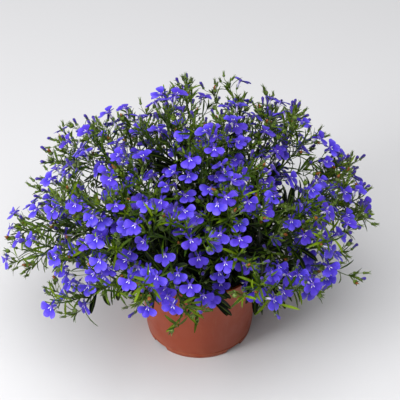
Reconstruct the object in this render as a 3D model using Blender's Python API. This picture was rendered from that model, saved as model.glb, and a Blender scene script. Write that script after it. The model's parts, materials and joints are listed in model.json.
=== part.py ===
"""Trailing lobelia in its nursery pot: the pot, its soil, and leafy flowering sprays that stand in the soil.

Metres, +Z up. The origin is at the middle of the pot's foot, on the surface that the pot stands on.
The front is towards -Y.
"""

import math
from dataclasses import dataclass, field

import bmesh
import bpy
import numpy as np

# Pot: a 12 cm nursery pot, moulded in one piece.
RIM_RADIUS = 0.0600
POT_HEIGHT = 0.0920
FOOT_RADIUS = 0.0503
WALL = 0.0016
WALL_FOOT_STEP = 0.0008
BAND_STEP = 0.0016
BAND_HEIGHT = 0.0085
RIM_ROUND = 0.0008
RIM_LIP = 0.0026
FLOOR_THICKNESS = 0.0018
FLOOR_LIFT = 0.0024
FLOOR_ROUND = 0.0040
FOOT_HEIGHT = 0.0062
FOOT_EDGE = 0.0010
FOOT_RING_WIDTH = 0.0052
FLOOR_INSET = 0.0025
CENTRE_PAD_RADIUS = 0.0090
POT_SIDES = 32
NOTCHES = 4
NOTCH_WIDTH = 0.0178
NOTCH_HEIGHT = 0.0021
NOTCH_REACH = (0.040, 0.056)
NOTCH_TURN = math.radians(-48.5)
DRAIN_RADIUS = 0.0040
DRAIN_CIRCLE = 0.0300
DRAIN_SIDES = 8
PAST = 0.001

# Soil: fills the pot to below its rim, a little higher in the middle.
SOIL_EDGE_Z = 0.0780
SOIL_RISE = 0.0025
SOIL_RISE_RADIUS = 0.055
SEAT_GAP = 0.0003
STEM_SUNK = 0.0090
STEM_COLLAR = 0.0015
HOLE_RADIUS = 0.0035

# Dome: leafy stems that arch out from the middle of the pot, and lean over less at the front.
CROWN_Z = 0.0950
DOME_RADIUS = 0.1630
DOME_RISE = 0.1340
DOME_FULLNESS = 2.3
DOME_EDGE = math.radians(86)
DOME_SPRAYS = 34
GOLDEN = math.pi * (3 - math.sqrt(5))
TURN_PLAY = 0.14
TILT_PLAY = 0.06
FRONT_LIFT = 0.22
FRONT_RANGE = (0.45, 0.90)
ROOT_RING = (0.006, 0.036)
TIP_SHARE = 0.90
TIP_SPREAD = 0.24
TIP_BIAS = 1.6
STEM_RADIUS = (0.00135, 0.00110)
STEM_RISE = 0.42
STEM_RISE_LOSS = 0.10
STEM_LEAN = 0.30
STEM_TRIES = 400

# Side shoot: one on each stem of the dome.
SHOOT_SPREAD = math.radians(13)
SHOOT_SPREAD_PLAY = (0.9, 1.35)
SHOOT_START = (0.36, 0.50)
SHOOT_REACH = (0.90, 1.05)
SHOOT_RADIUS = (0.00115, 0.00100)
SHOOT_RISE = 0.35
SHOOT_LEAN = 0.30
SHOOT_TRIES = 60

# Skirt: short stems round the soil's edge that lean out over the rim.
SKIRT_SPRAYS = 8
SKIRT_PLAY = 0.08
SKIRT_ROOT = 0.041
SKIRT_REACH = (0.074, 0.086)
SKIRT_LIFT = (0.010, 0.018)
SKIRT_RISE = 0.030
SKIRT_LEAN = 0.020

# Where along its length a stem bears blooms, and how many.
LEADER_BEARS_FROM = 0.50
SHOOT_BEARS_FROM = 0.38
SKIRT_BEARS_FROM = 0.45
BEARS_TO = 0.97
LEADER_BLOOMS = 4
SHOOT_BLOOMS = 3
SKIRT_BLOOMS = 2
HIGH_TILT = 0.60
BLOOM_TRIES = 80

# Bloom: a lip of three broad lobes below, two narrow ones above, on a tube and a thin stalk.
BLOOM_RADIUS = 0.0104
BLOOM_PLAY = (0.88, 1.06)
TUBE_LENGTH = 0.0085
NECK_RADIUS = 0.0011
NECK_SHARE = 0.45
STALK_ROOT_RADIUS = 0.00035
STALK_LENGTH = (0.009, 0.019)
STALK_SWING = (0.5, 1.3)
FACING_PLAY = 0.55
FACING_LIFT = 0.35
TOP_PLAY = 0.30
LEAST_ALIGNED = 0.35

# Half outline of a bloom: angle in degrees from its lowest point, and share of its radius.
LOBES = ((15, 1.00), (33, 0.50), (50, 0.97), (80, 0.96), (108, 0.40), (152, 0.80))

# Leaves: narrow ones along the stems, and broad ones at the plant's base.
LEAVES_PER_TIP = 1
LEAF_LENGTH = (0.013, 0.022)
LEAF_WIDTH = 0.0030
LEAVES_FROM = 0.30
LEAVES_TO = 0.96
BASAL_LEAVES = 3
BASAL_LENGTH = (0.022, 0.029)
BASAL_WIDTH = 0.0052
BASAL_FROM = 0.50
BASAL_STEP = 0.16
LEAF_LEAN = (0.35, 0.9)
LEAF_LIFT = 0.15
LEAF_KEEL = 0.0009
LEAF_ROOT = 0.0004
LEAF_SUNK = 0.0003
LEAF_TRIES = 40

# Pointed end of each stem.
TIP_LENGTH = 0.0042

# Room that each kind of piece takes up, as balls along it.
BALL_STEP = 0.0021
STEM_BALL = 0.0020
STALK_BALL = 0.0014
LOBE_BALL = 0.0030
BROAD_LOBES = (-65, 0, 65)
BROAD_BALLS = (0.42, 0.80)
NARROW_LOBES = (-152, 152)
NARROW_BALL = 0.5
OWN_LOBES = 0.85
OWN_STALKS = 0.6
OWN_LEAVES = 0.6
STALK_CLEAR = 0.35
LEAF_CLEAR = 0.25
CLEAR_OF_SOIL = 0.006
FORK_BALLS = 5
LEAF_MARGIN = 0.0003
POT_MARGIN = 0.0008
GROUND_MARGIN = 0.020
MOST_BALLS = 20000
WIDEST_REACH = 0.008
SEED = 372

UP = np.array([0.0, 0.0, 1.0])
CROWN = np.array([0.0, 0.0, CROWN_Z])


def unit(vector):
    """The vector at length 1."""
    return vector / np.linalg.norm(vector)


def across(axis, wish):
    """The unit vector square to axis that is nearest to wish."""
    flat = wish - axis * (wish @ axis)
    if np.linalg.norm(flat) < 1e-6:
        flat = np.array([1.0, 0.0, 0.0]) - axis * axis[0]
    return unit(flat)


def heading(tilt, turn):
    """The direction at an angle tilt from straight up, and turn round the pot from +X."""
    return np.array([math.sin(tilt) * math.cos(turn), math.sin(tilt) * math.sin(turn), math.cos(tilt)])


@dataclass
class Shoot:
    """One stem: the points that it runs through, and its radius at the foot and the end."""

    line: np.ndarray
    radii: tuple
    bears_from: float

    def at(self, share):
        """The point at a share of the stem's length, and the stem's direction there."""
        steps = np.diff(self.line, axis=0)
        lengths = np.linalg.norm(steps, axis=1)
        along = np.concatenate([[0], np.cumsum(lengths)])
        place = share * along[-1]
        k = min(int(np.searchsorted(along, place, side="right")) - 1, len(lengths) - 1)
        part = (place - along[k]) / lengths[k]
        return self.line[k] + part * steps[k], steps[k] / lengths[k]


@dataclass
class Bloom:
    """One flower: where its stalk leaves the stem, its calyx, its throat, and the way it faces."""

    seat: np.ndarray
    calyx: np.ndarray
    throat: np.ndarray
    facing: np.ndarray
    top: np.ndarray
    size: float


@dataclass
class Leaf:
    """One leaf: its root on the stem, its tip, the direction of its upper side, and its width."""

    root: np.ndarray
    tip: np.ndarray
    upper: np.ndarray
    width: float


@dataclass
class Spray:
    """A leafy stem with its side shoot, leaves and blooms."""

    shoots: list
    blooms: list = field(default_factory=list)
    leaves: list = field(default_factory=list)


class Room:
    """Balls that stand for all that has grown so far, so that no spray grows through another."""

    def __init__(self):
        self.at = np.zeros((MOST_BALLS, 3))
        self.radius = np.zeros(MOST_BALLS)
        self.owner = np.zeros(MOST_BALLS, int)
        self.count = 0

    def add(self, at, radius, owner):
        """Keeps the balls at these points for one spray."""
        new = slice(self.count, self.count + len(at))
        self.at[new], self.radius[new], self.owner[new] = at, radius, owner
        self.count += len(at)

    def free(self, at, radius, owner, own_share):
        """Whether balls at these points touch none of the others, with the spray's own ones taken smaller."""
        if not clear_of_pot(at, radius):
            return False
        middle = at.mean(axis=0)
        steps = self.at[: self.count] - middle
        far = np.linalg.norm(at - middle, axis=1).max() + WIDEST_REACH
        near = np.flatnonzero(np.einsum("ij,ij->i", steps, steps) < far * far)
        reach = (self.radius[near] + radius) * np.where(self.owner[near] == owner, own_share, 1.0)
        gaps = self.at[near][None] - at[:, None]
        return bool((np.einsum("ijk,ijk->ij", gaps, gaps) > (reach * reach)[None]).all())


def wall_radius(z):
    """The outside radius of the pot's wall at a height, without the foot and the band."""
    low, high = FOOT_RADIUS + WALL_FOOT_STEP, RIM_RADIUS - BAND_STEP
    return low + (high - low) * z / POT_HEIGHT


def soil_z(radius):
    """The height of the soil at a distance from the pot's axis."""
    return SOIL_EDGE_Z + SOIL_RISE * (1 - min(1.0, radius / SOIL_RISE_RADIUS))


def clear_of_pot(at, radius):
    """Whether balls of this radius at these points stay off the pot, the soil and the ground."""
    out, z = np.hypot(at[:, 0], at[:, 1]), at[:, 2]
    margin = radius + POT_MARGIN
    over_rim = z > POT_HEIGHT + margin
    outside = out > RIM_RADIUS + margin
    inside = (out < wall_radius(SOIL_EDGE_Z) - WALL - margin) & (z > SOIL_EDGE_Z + SOIL_RISE + margin)
    return bool(((over_rim | outside | inside) & (z > GROUND_MARGIN)).all())


def arch(start, rise, finish, lean, points):
    """Points on the curve that leaves start along rise and comes to finish along lean."""
    t = np.linspace(0, 1, points)[:, None]
    return (
        start * (1 - t) ** 3
        + 3 * (start + rise) * t * (1 - t) ** 2
        + 3 * (finish - lean) * t**2 * (1 - t)
        + finish * t**3
    )


def dome_point(tilt, turn, share):
    """The point at a share of the way from the crown to the dome's surface."""
    flat = (math.sin(tilt) / DOME_RADIUS) ** DOME_FULLNESS
    tall = (abs(math.cos(tilt)) / DOME_RISE) ** DOME_FULLNESS
    return CROWN + share * (flat + tall) ** (-1 / DOME_FULLNESS) * heading(tilt, turn)


def lean_share(turn):
    """How far the stems lean over on this side: less at the front, so that they show the pot."""
    start, full = FRONT_RANGE
    front = min(1.0, max(0.0, (-math.sin(turn) - start) / (full - start)))
    return 1 - FRONT_LIFT * front * front * (3 - 2 * front)


def dome_stem(index, rng):
    """The leading stem of a spray of the dome, with the tilt and turn that it grows along."""
    height = 1 - (index + 0.5) / DOME_SPRAYS * (1 - math.cos(DOME_EDGE))
    turn = index * GOLDEN + rng.uniform(-TURN_PLAY, TURN_PLAY)
    tilt = math.acos(height) * lean_share(turn) + rng.uniform(-TILT_PLAY, TILT_PLAY)
    finish = dome_point(tilt, turn, TIP_SHARE + TIP_SPREAD * rng.random() ** TIP_BIAS)
    ring = ROOT_RING[0] + (ROOT_RING[1] - ROOT_RING[0]) * tilt / DOME_EDGE
    root = np.array([ring * math.cos(turn), ring * math.sin(turn), soil_z(ring)])
    length = np.linalg.norm(finish - root)
    rise = UP * length * (STEM_RISE - STEM_RISE_LOSS * tilt)
    lean = unit(0.8 * heading(tilt, turn) + 0.5 * UP) * length * STEM_LEAN
    return Shoot(arch(root, rise, finish, lean, 6), STEM_RADIUS, LEADER_BEARS_FROM), tilt, turn


def skirt_stem(index, rng):
    """A short stem that leans out over the pot's rim."""
    turn = -math.pi / 2 + (index + 0.04) * 2 * math.pi / SKIRT_SPRAYS + rng.uniform(-SKIRT_PLAY, SKIRT_PLAY)
    out = heading(math.pi / 2, turn)
    root = out * SKIRT_ROOT + UP * soil_z(SKIRT_ROOT)
    finish = out * rng.uniform(*SKIRT_REACH) + UP * (POT_HEIGHT + rng.uniform(*SKIRT_LIFT))
    lean = SKIRT_LEAN * unit(out - 0.15 * UP)
    return Shoot(arch(root, UP * SKIRT_RISE, finish, lean, 6), STEM_RADIUS, SKIRT_BEARS_FROM)


def side_shoot(leader, tilt, turn, side, rng):
    """A shoot that leaves the leading stem part of the way up and ends beside its tip."""
    spread = SHOOT_SPREAD * rng.uniform(*SHOOT_SPREAD_PLAY)
    bearing = rng.uniform(0.2, 1.0) * side * math.pi / 2
    new_tilt = abs(tilt + spread * math.cos(bearing) * rng.choice([-1, 1]))
    new_turn = turn + side * spread * abs(math.sin(bearing)) / max(0.35, math.sin(tilt))
    finish = dome_point(min(new_tilt, DOME_EDGE), new_turn, rng.uniform(*SHOOT_REACH))
    start, along = leader.at(rng.uniform(*SHOOT_START))
    length = np.linalg.norm(finish - start)
    lean = unit(finish - start + 0.3 * length * UP) * length * SHOOT_LEAN
    return Shoot(arch(start, along * length * SHOOT_RISE, finish, lean, 5), SHOOT_RADIUS, SHOOT_BEARS_FROM)


def balls_on(start, finish, spacing):
    """Evenly spaced points from start to finish."""
    count = max(2, int(np.linalg.norm(finish - start) / spacing) + 2)
    return start + np.linspace(0, 1, count)[:, None] * (finish - start)


def line_balls(line, spacing):
    """Evenly spaced points along a line of several points."""
    return np.vstack([balls_on(a, b, spacing) for a, b in zip(line[:-1], line[1:])])


def bloom_balls(bloom):
    """Points for the flat of a bloom: its throat, two on each broad lobe and one on each narrow one."""
    side = np.cross(bloom.top, bloom.facing)
    places = [(0, 0)] + [(turn, reach) for turn in BROAD_LOBES for reach in BROAD_BALLS]
    places += [(turn, NARROW_BALL) for turn in NARROW_LOBES]
    points = []
    for turn, reach in places:
        angle = math.radians(turn)
        flat = side * math.sin(angle) - bloom.top * math.cos(angle)
        points.append(bloom.throat + reach * bloom.size * flat)
    return np.array(points)


def try_bloom(shoot, share, owner, room, rng):
    """A bloom on this stem that is clear of all else, or None."""
    seat, along = shoot.at(share)
    outward = unit(seat - CROWN + 0.02 * UP)
    facing = unit(outward + FACING_LIFT * UP + FACING_PLAY * rng.normal(size=3) / math.sqrt(3))
    reach = unit(facing + across(along, rng.normal(size=3)) * rng.uniform(*STALK_SWING))
    calyx = seat + reach * rng.uniform(*STALK_LENGTH)
    size = BLOOM_RADIUS * rng.uniform(*BLOOM_PLAY)
    top = across(facing, UP - 0.15 * outward + TOP_PLAY * rng.normal(size=3) / math.sqrt(3))
    bloom = Bloom(seat, calyx, calyx + facing * TUBE_LENGTH, facing, top, size)
    if reach @ facing < LEAST_ALIGNED:
        return None
    stalk = balls_on(seat + STALK_CLEAR * (calyx - seat), bloom.throat, BALL_STEP)
    flat = bloom_balls(bloom)
    if not room.free(flat, LOBE_BALL, owner, OWN_LOBES):
        return None
    if not room.free(stalk, STALK_BALL, owner, OWN_STALKS):
        return None
    room.add(flat, LOBE_BALL, owner)
    room.add(balls_on(seat, bloom.throat, BALL_STEP), STALK_BALL, owner)
    return bloom


def try_leaf(shoot, share, lengths, width, owner, room, rng):
    """A leaf on this stem that is clear of all else, or None."""
    root, along = shoot.at(share)
    outward = across(along, rng.normal(size=3))
    reach = unit(outward + along * rng.uniform(*LEAF_LEAN) + LEAF_LIFT * UP)
    tip = root + reach * rng.uniform(*lengths)
    balls = balls_on(root + LEAF_CLEAR * (tip - root), tip, BALL_STEP)
    if not room.free(balls, 0.5 * width + LEAF_MARGIN, owner, OWN_LEAVES):
        return None
    room.add(balls, 0.5 * width + LEAF_MARGIN, owner)
    return Leaf(root - LEAF_SUNK * reach, tip, across(reach, along + 0.6 * UP), width)


def first_fit(attempt, tries):
    """The first result of attempt that isn't None, or None after so many tries."""
    for _ in range(tries):
        found = attempt()
        if found is not None:
            return found
    return None


def blooms_on(tilt, number):
    """How many blooms a stem bears: number is 0 for a spray's leading stem, and the skirt's have no tilt."""
    if tilt is None:
        return SKIRT_BLOOMS
    count = SHOOT_BLOOMS if number else LEADER_BLOOMS
    return count - 1 if tilt < HIGH_TILT else count


def grow_stems(room, rng):
    """The sprays with their stems only, and the tilt of each leading stem of the dome."""
    sprays, bearings = [], []

    def try_stem(index):
        if index < DOME_SPRAYS:
            grown = dome_stem(index, rng)
        else:
            grown = skirt_stem(index - DOME_SPRAYS, rng), None, None
        balls = line_balls(grown[0].line, BALL_STEP)
        above = balls[balls[:, 2] > SOIL_EDGE_Z + CLEAR_OF_SOIL]
        return grown if room.free(above, STEM_BALL, index, 1.0) else None

    def try_shoot(index):
        shoot = side_shoot(sprays[index].shoots[0], *bearings[index], 1 - 2 * (index % 2), rng)
        balls = line_balls(shoot.line, BALL_STEP)
        return shoot if room.free(balls[FORK_BALLS:], STEM_BALL, index, 0.0) else None

    for i in range(DOME_SPRAYS + SKIRT_SPRAYS):
        leader, tilt, turn = first_fit(lambda: try_stem(i), STEM_TRIES)
        sprays.append(Spray([leader]))
        bearings.append((tilt, turn))
        room.add(line_balls(leader.line, BALL_STEP), STEM_BALL, i)
    for i in range(DOME_SPRAYS):
        shoot = first_fit(lambda: try_shoot(i), SHOOT_TRIES)
        if shoot:
            sprays[i].shoots.append(shoot)
            room.add(line_balls(shoot.line, BALL_STEP), STEM_BALL, i)
    return sprays, [tilt for tilt, _ in bearings]


def grow():
    """All sprays of the plant, each clear of the others."""
    rng = np.random.default_rng(SEED)
    room = Room()
    sprays, tilts = grow_stems(room, rng)

    def bear_leaf(owner, shoot, share, lengths, width):
        leaf = first_fit(lambda: try_leaf(shoot, share, lengths, width, owner, room, rng), LEAF_TRIES)
        sprays[owner].leaves += [leaf] if leaf else []

    for k in range(LEADER_BLOOMS):
        for i, spray in enumerate(sprays):
            for number, shoot in enumerate(spray.shoots):
                count = blooms_on(tilts[i], number)
                if k < count:
                    step = (BEARS_TO - shoot.bears_from) * (k + rng.uniform(0.2, 0.8)) / count
                    share = shoot.bears_from + step
                    bloom = first_fit(lambda: try_bloom(shoot, share, i, room, rng), BLOOM_TRIES)
                    spray.blooms += [bloom] if bloom else []
    for k in range(BASAL_LEAVES):
        for i in range(DOME_SPRAYS, len(sprays)):
            bear_leaf(i, sprays[i].shoots[0], BASAL_FROM + BASAL_STEP * k, BASAL_LENGTH, BASAL_WIDTH)
    for k in range(LEAVES_PER_TIP):
        for i, spray in enumerate(sprays):
            for shoot in spray.shoots:
                step = (LEAVES_TO - LEAVES_FROM) * (k + rng.uniform(0.2, 1.0)) / LEAVES_PER_TIP
                bear_leaf(i, shoot, LEAVES_FROM + step, LEAF_LENGTH, LEAF_WIDTH)
    return sprays


def mesh_from(name, points, faces):
    """A mesh of these points and faces, with its faces pointing out."""
    mesh = bpy.data.meshes.new(name)
    mesh.from_pydata([tuple(p) for p in points], [], faces)
    shape = bmesh.new()
    shape.from_mesh(mesh)
    bmesh.ops.recalc_face_normals(shape, faces=shape.faces)
    shape.to_mesh(mesh)
    shape.free()
    return mesh


def ring_around(centre, axis, start, radius, sides):
    """Points on a circle round axis, the first of them towards start."""
    first = across(axis, start)
    second = np.cross(axis, first)
    angles = [2 * math.pi * k / sides for k in range(sides)]
    return [centre + radius * (first * math.cos(a) + second * math.sin(a)) for a in angles]


def bands(rings, sides):
    """The four-sided faces between rings of points that follow each other."""
    faces = []
    for r in range(rings - 1):
        for k in range(sides):
            a, b = r * sides + k, r * sides + (k + 1) % sides
            faces.append((a, b, b + sides, a + sides))
    return faces


def stem_mesh(shoot, sunk):
    """A three-sided stem with a pointed end; sunk is how far it stands below its first point."""
    line = list(shoot.line)
    if sunk:
        line = [line[0] - sunk * UP, line[0] + STEM_COLLAR * UP] + line[1:]
    radii = np.linspace(*shoot.radii, len(line))
    points = []
    side = np.array([1.0, 0.0, 0.0])
    for k, centre in enumerate(line):
        before, after = line[max(k - 1, 0)], line[min(k + 1, len(line) - 1)]
        axis = unit(after - before)
        side = across(axis, side)
        points += ring_around(centre, axis, side, radii[k], 3)
    points.append(line[-1] + TIP_LENGTH * unit(line[-1] - line[-2]))
    end = len(points) - 1
    cap = [(end - 3, end - 2, end), (end - 2, end - 1, end), (end - 1, end - 3, end)]
    return mesh_from("stem", points, bands(len(line), 3) + [(2, 1, 0)] + cap)


def bloom_mesh(bloom):
    """A thin lobed lip that narrows behind to a three-sided stalk, as one closed form."""
    side = np.cross(bloom.top, bloom.facing)
    outline = [(math.radians(a), r) for a, r in LOBES]
    outline += [(-math.radians(a), r) for a, r in reversed(LOBES)]

    def on_lip(angle, radius, forward):
        flat = side * math.sin(angle) - bloom.top * math.cos(angle)
        return bloom.throat + bloom.size * (radius * flat + forward * bloom.facing)

    edge = [on_lip(a, r, 0.10 * abs(math.sin(a)) * r) for a, r in outline]
    count = tube = len(edge)
    stalk_way = unit(bloom.calyx - bloom.seat)
    neck = bloom.throat + NECK_SHARE * (bloom.calyx - bloom.throat)
    points = edge + ring_around(neck, unit(bloom.facing + stalk_way), -bloom.top, NECK_RADIUS, 3)
    points += ring_around(bloom.seat, unit(neck - bloom.seat), -bloom.top, STALK_ROOT_RADIUS, 3)
    notches = [1, 4, count - 5, count - 2]
    faces = [(notches[0], notches[1], notches[2]), (notches[0], notches[2], notches[3])]
    for start, end in zip(notches, notches[1:] + notches[:1]):
        lobe = [(start + k) % count for k in range((end - start) % count + 1)]
        faces += [(start, a, b) for a, b in zip(lobe[1:-1], lobe[2:])]
    angles = [a % (2 * math.pi) for a, _ in outline]
    nearest = [int(round(a / (2 * math.pi) * 3)) % 3 for a in angles]
    for k in range(count):
        a, b = nearest[k], nearest[(k + 1) % count]
        faces.append((k, (k + 1) % count, tube + a))
        if a != b:
            faces.append(((k + 1) % count, tube + b, tube + a))
    faces += [tuple(tube + i for i in face) for face in bands(2, 3)] + [(tube + 3, tube + 4, tube + 5)]
    return mesh_from("bloom", points, faces)


def leaf_mesh(leaf):
    """A leaf with a keel below, arched along its length."""
    way = unit(leaf.tip - leaf.root)
    length = np.linalg.norm(leaf.tip - leaf.root)
    side = np.cross(way, leaf.upper)
    middle = leaf.root + 0.52 * length * way + 0.07 * length * leaf.upper
    points = []
    for centre, half, keel in ((leaf.root, LEAF_ROOT, LEAF_ROOT), (middle, 0.5 * leaf.width, LEAF_KEEL)):
        top = centre + 0.3 * keel * leaf.upper
        points += [top - half * side, top + half * side, top - keel * leaf.upper]
    points.append(leaf.tip)
    faces = bands(2, 3) + [(0, 1, 2), (3, 4, 6), (4, 5, 6), (5, 3, 6)]
    return mesh_from("leaf", points, faces)


def add_object(name, mesh, material=None):
    """An object of this mesh in the scene."""
    made = bpy.data.objects.new(name, mesh)
    bpy.context.scene.collection.objects.link(made)
    if material:
        mesh.materials.clear()
        mesh.materials.append(material)
    return made


def joined(made, helpers, operation):
    """The object with the helper objects united with it or cut from it, and the helpers removed."""
    group = bpy.data.collections.new("helpers")
    bpy.context.scene.collection.children.link(group)
    for helper in helpers:
        group.objects.link(helper)
    step = made.modifiers.new("join", "BOOLEAN")
    step.operation = operation
    step.operand_type = "COLLECTION"
    step.collection = group
    step.solver = "EXACT"
    bpy.context.view_layer.update()
    evaluated = made.evaluated_get(bpy.context.evaluated_depsgraph_get())
    result = bpy.data.meshes.new_from_object(evaluated)
    made.modifiers.remove(step)
    made.data = result
    for helper in helpers:
        bpy.data.objects.remove(helper)
    bpy.data.collections.remove(group)
    return made


def keep_largest_body(made):
    """Drops loose scraps, so that the object is one body."""
    shape = bmesh.new()
    shape.from_mesh(made.data)
    left, bodies = set(shape.verts), []
    while left:
        body, edge = set(), [left.pop()]
        while edge:
            vert = edge.pop()
            body.add(vert)
            for link in vert.link_edges:
                other = link.other_vert(vert)
                if other in left:
                    left.remove(other)
                    edge.append(other)
        bodies.append(body)
    bodies.sort(key=len)
    for body in bodies[:-1]:
        bmesh.ops.delete(shape, geom=list(body), context="VERTS")
    shape.to_mesh(made.data)
    shape.free()


def material(name, colour, roughness):
    """A plain finish."""
    made = bpy.data.materials.new(name)
    made.use_nodes = True
    shader = made.node_tree.nodes["Principled BSDF"]
    shader.inputs["Base Color"].default_value = (*colour, 1)
    shader.inputs["Roughness"].default_value = roughness
    shader.inputs["Metallic"].default_value = 0.0
    return made


def turned(name, profile, sides):
    """A closed form turned round the Z axis; the profile starts and ends on the axis."""
    points = [(0, 0, profile[0][1])]
    for radius, z in profile[1:-1]:
        for k in range(sides):
            angle = 2 * math.pi * k / sides
            points.append((radius * math.cos(angle), radius * math.sin(angle), z))
    points.append((0, 0, profile[-1][1]))
    rings = len(profile) - 2
    faces = [tuple(1 + i for i in face) for face in bands(rings, sides)]
    last = 1 + (rings - 1) * sides
    for k in range(sides):
        faces.append((0, 1 + (k + 1) % sides, 1 + k))
        faces.append((len(points) - 1, last + k, last + (k + 1) % sides))
    return mesh_from(name, points, faces)


def prism(radius, low, high, x, y, sides):
    """A closed upright prism."""
    points = []
    for z in (low, high):
        for k in range(sides):
            angle = 2 * math.pi * (k + 0.5) / sides
            points.append((x + radius * math.cos(angle), y + radius * math.sin(angle), z))
    faces = bands(2, sides) + [tuple(range(sides)), tuple(range(sides, 2 * sides))]
    return mesh_from("prism", points, faces)


def build_pot(finish):
    """The pot: a tapered wall with a rim band, a raised floor with a pad in it, and a notched foot."""
    floor_top = FLOOR_LIFT + FLOOR_THICKNESS
    step = wall_radius(FOOT_HEIGHT)
    shoulder = POT_HEIGHT - BAND_HEIGHT
    corner = floor_top + FLOOR_ROUND
    profile = [
        (0, 0),
        (CENTRE_PAD_RADIUS, 0),
        (CENTRE_PAD_RADIUS + FOOT_EDGE, FLOOR_LIFT),
        (FOOT_RADIUS - FOOT_RING_WIDTH - FOOT_EDGE, FLOOR_LIFT),
        (FOOT_RADIUS - FOOT_RING_WIDTH, 0),
        (FOOT_RADIUS - FOOT_EDGE, 0),
        (FOOT_RADIUS, FOOT_EDGE),
        (step - RIM_ROUND, FOOT_HEIGHT),
        (step, FOOT_HEIGHT + RIM_ROUND),
        (wall_radius(shoulder), shoulder),
        (RIM_RADIUS - 0.3 * RIM_ROUND, shoulder + FOOT_EDGE),
        (RIM_RADIUS, POT_HEIGHT - RIM_ROUND),
        (RIM_RADIUS - RIM_ROUND, POT_HEIGHT),
        (RIM_RADIUS - RIM_LIP, POT_HEIGHT),
        (wall_radius(POT_HEIGHT) - WALL, POT_HEIGHT - BAND_STEP),
        (wall_radius(corner) - WALL, corner),
        (FOOT_RADIUS - FLOOR_INSET, floor_top),
        (0, floor_top),
    ]
    pot = add_object("pot", turned("pot", profile, POT_SIDES), finish)
    cutters = []
    for k in range(NOTCHES):
        turn = NOTCH_TURN + k * 2 * math.pi / NOTCHES
        out, along = heading(math.pi / 2, turn), heading(math.pi / 2, turn + math.pi / 2)
        inner, outer = NOTCH_REACH
        points = []
        for z in (-PAST, NOTCH_HEIGHT):
            for r, side in ((inner, -1), (outer, -1), (outer, 1), (inner, 1)):
                points.append(out * r + along * side * NOTCH_WIDTH / 2 + UP * z)
        faces = bands(2, 4) + [(0, 1, 2, 3), (4, 5, 6, 7)]
        cutters.append(add_object("notch", mesh_from("notch", points, faces)))
        hole_turn = turn + math.pi / 4
        x, y = DRAIN_CIRCLE * math.cos(hole_turn), DRAIN_CIRCLE * math.sin(hole_turn)
        cutters.append(add_object("drain", prism(DRAIN_RADIUS, -PAST, floor_top + PAST, x, y, DRAIN_SIDES)))
    joined(pot, cutters, "DIFFERENCE")
    pot.data.shade_smooth()
    pot.data.set_sharp_from_angle(angle=math.radians(30))


def build_soil(sprays, finish):
    """The soil: it fills the pot with a small gap, and has a plain hole for each stem."""
    floor_top = FLOOR_LIFT + FLOOR_THICKNESS
    inset = WALL + SEAT_GAP
    corner, middle = floor_top + FLOOR_ROUND, SOIL_RISE_RADIUS / 2
    profile = [
        (0, floor_top + SEAT_GAP),
        (FOOT_RADIUS - FLOOR_INSET - SEAT_GAP, floor_top + SEAT_GAP),
        (wall_radius(corner) - inset, corner + SEAT_GAP),
        (wall_radius(SOIL_EDGE_Z) - inset, SOIL_EDGE_Z),
        (middle, soil_z(middle)),
        (0, soil_z(0)),
    ]
    soil = add_object("soil", turned("soil", profile, POT_SIDES), finish)
    holes = []
    for spray in sprays:
        x, y, z = spray.shoots[0].line[0]
        low, high = z - STEM_SUNK - SEAT_GAP, z + STEM_SUNK
        holes.append(add_object("hole", prism(HOLE_RADIUS, low, high, x, y, 3)))
    joined(soil, holes, "DIFFERENCE")


def build_spray(name, spray, finish):
    """One leafy stem with all that grows on it, as one body."""
    stem = add_object(name, stem_mesh(spray.shoots[0], STEM_SUNK), finish)
    parts = [stem_mesh(shoot, 0) for shoot in spray.shoots[1:]]
    parts += [bloom_mesh(bloom) for bloom in spray.blooms]
    parts += [leaf_mesh(leaf) for leaf in spray.leaves]
    joined(stem, [add_object("part", mesh) for mesh in parts], "UNION")
    keep_largest_body(stem)
    stem.data.materials.clear()
    stem.data.materials.append(finish)


def main():
    """Clears the scene and builds the pot, the soil and every spray."""
    for old in list(bpy.data.objects):
        bpy.data.objects.remove(old)
    terracotta = material("terracotta_plastic", (0.40, 0.12, 0.07), 0.45)
    earth = material("potting_soil", (0.05, 0.035, 0.025), 0.95)
    foliage = material("flowering_spray", (0.16, 0.14, 0.62), 0.6)
    sprays = grow()
    build_pot(terracotta)
    build_soil(sprays, earth)
    for number, spray in enumerate(sprays):
        kind = "spray" if number < DOME_SPRAYS else "skirt_spray"
        build_spray(f"{kind}_{number + 1:02d}", spray, foliage)


main()
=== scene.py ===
"""Trailing lobelia in its nursery pot: the finished look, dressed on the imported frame.

Metres, +Z up, the origin at the middle of the pot's foot, the front towards -Y.
"""

import json
import logging
import math
from dataclasses import dataclass, field
from enum import Enum
from typing import Callable, Optional, Union

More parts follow.
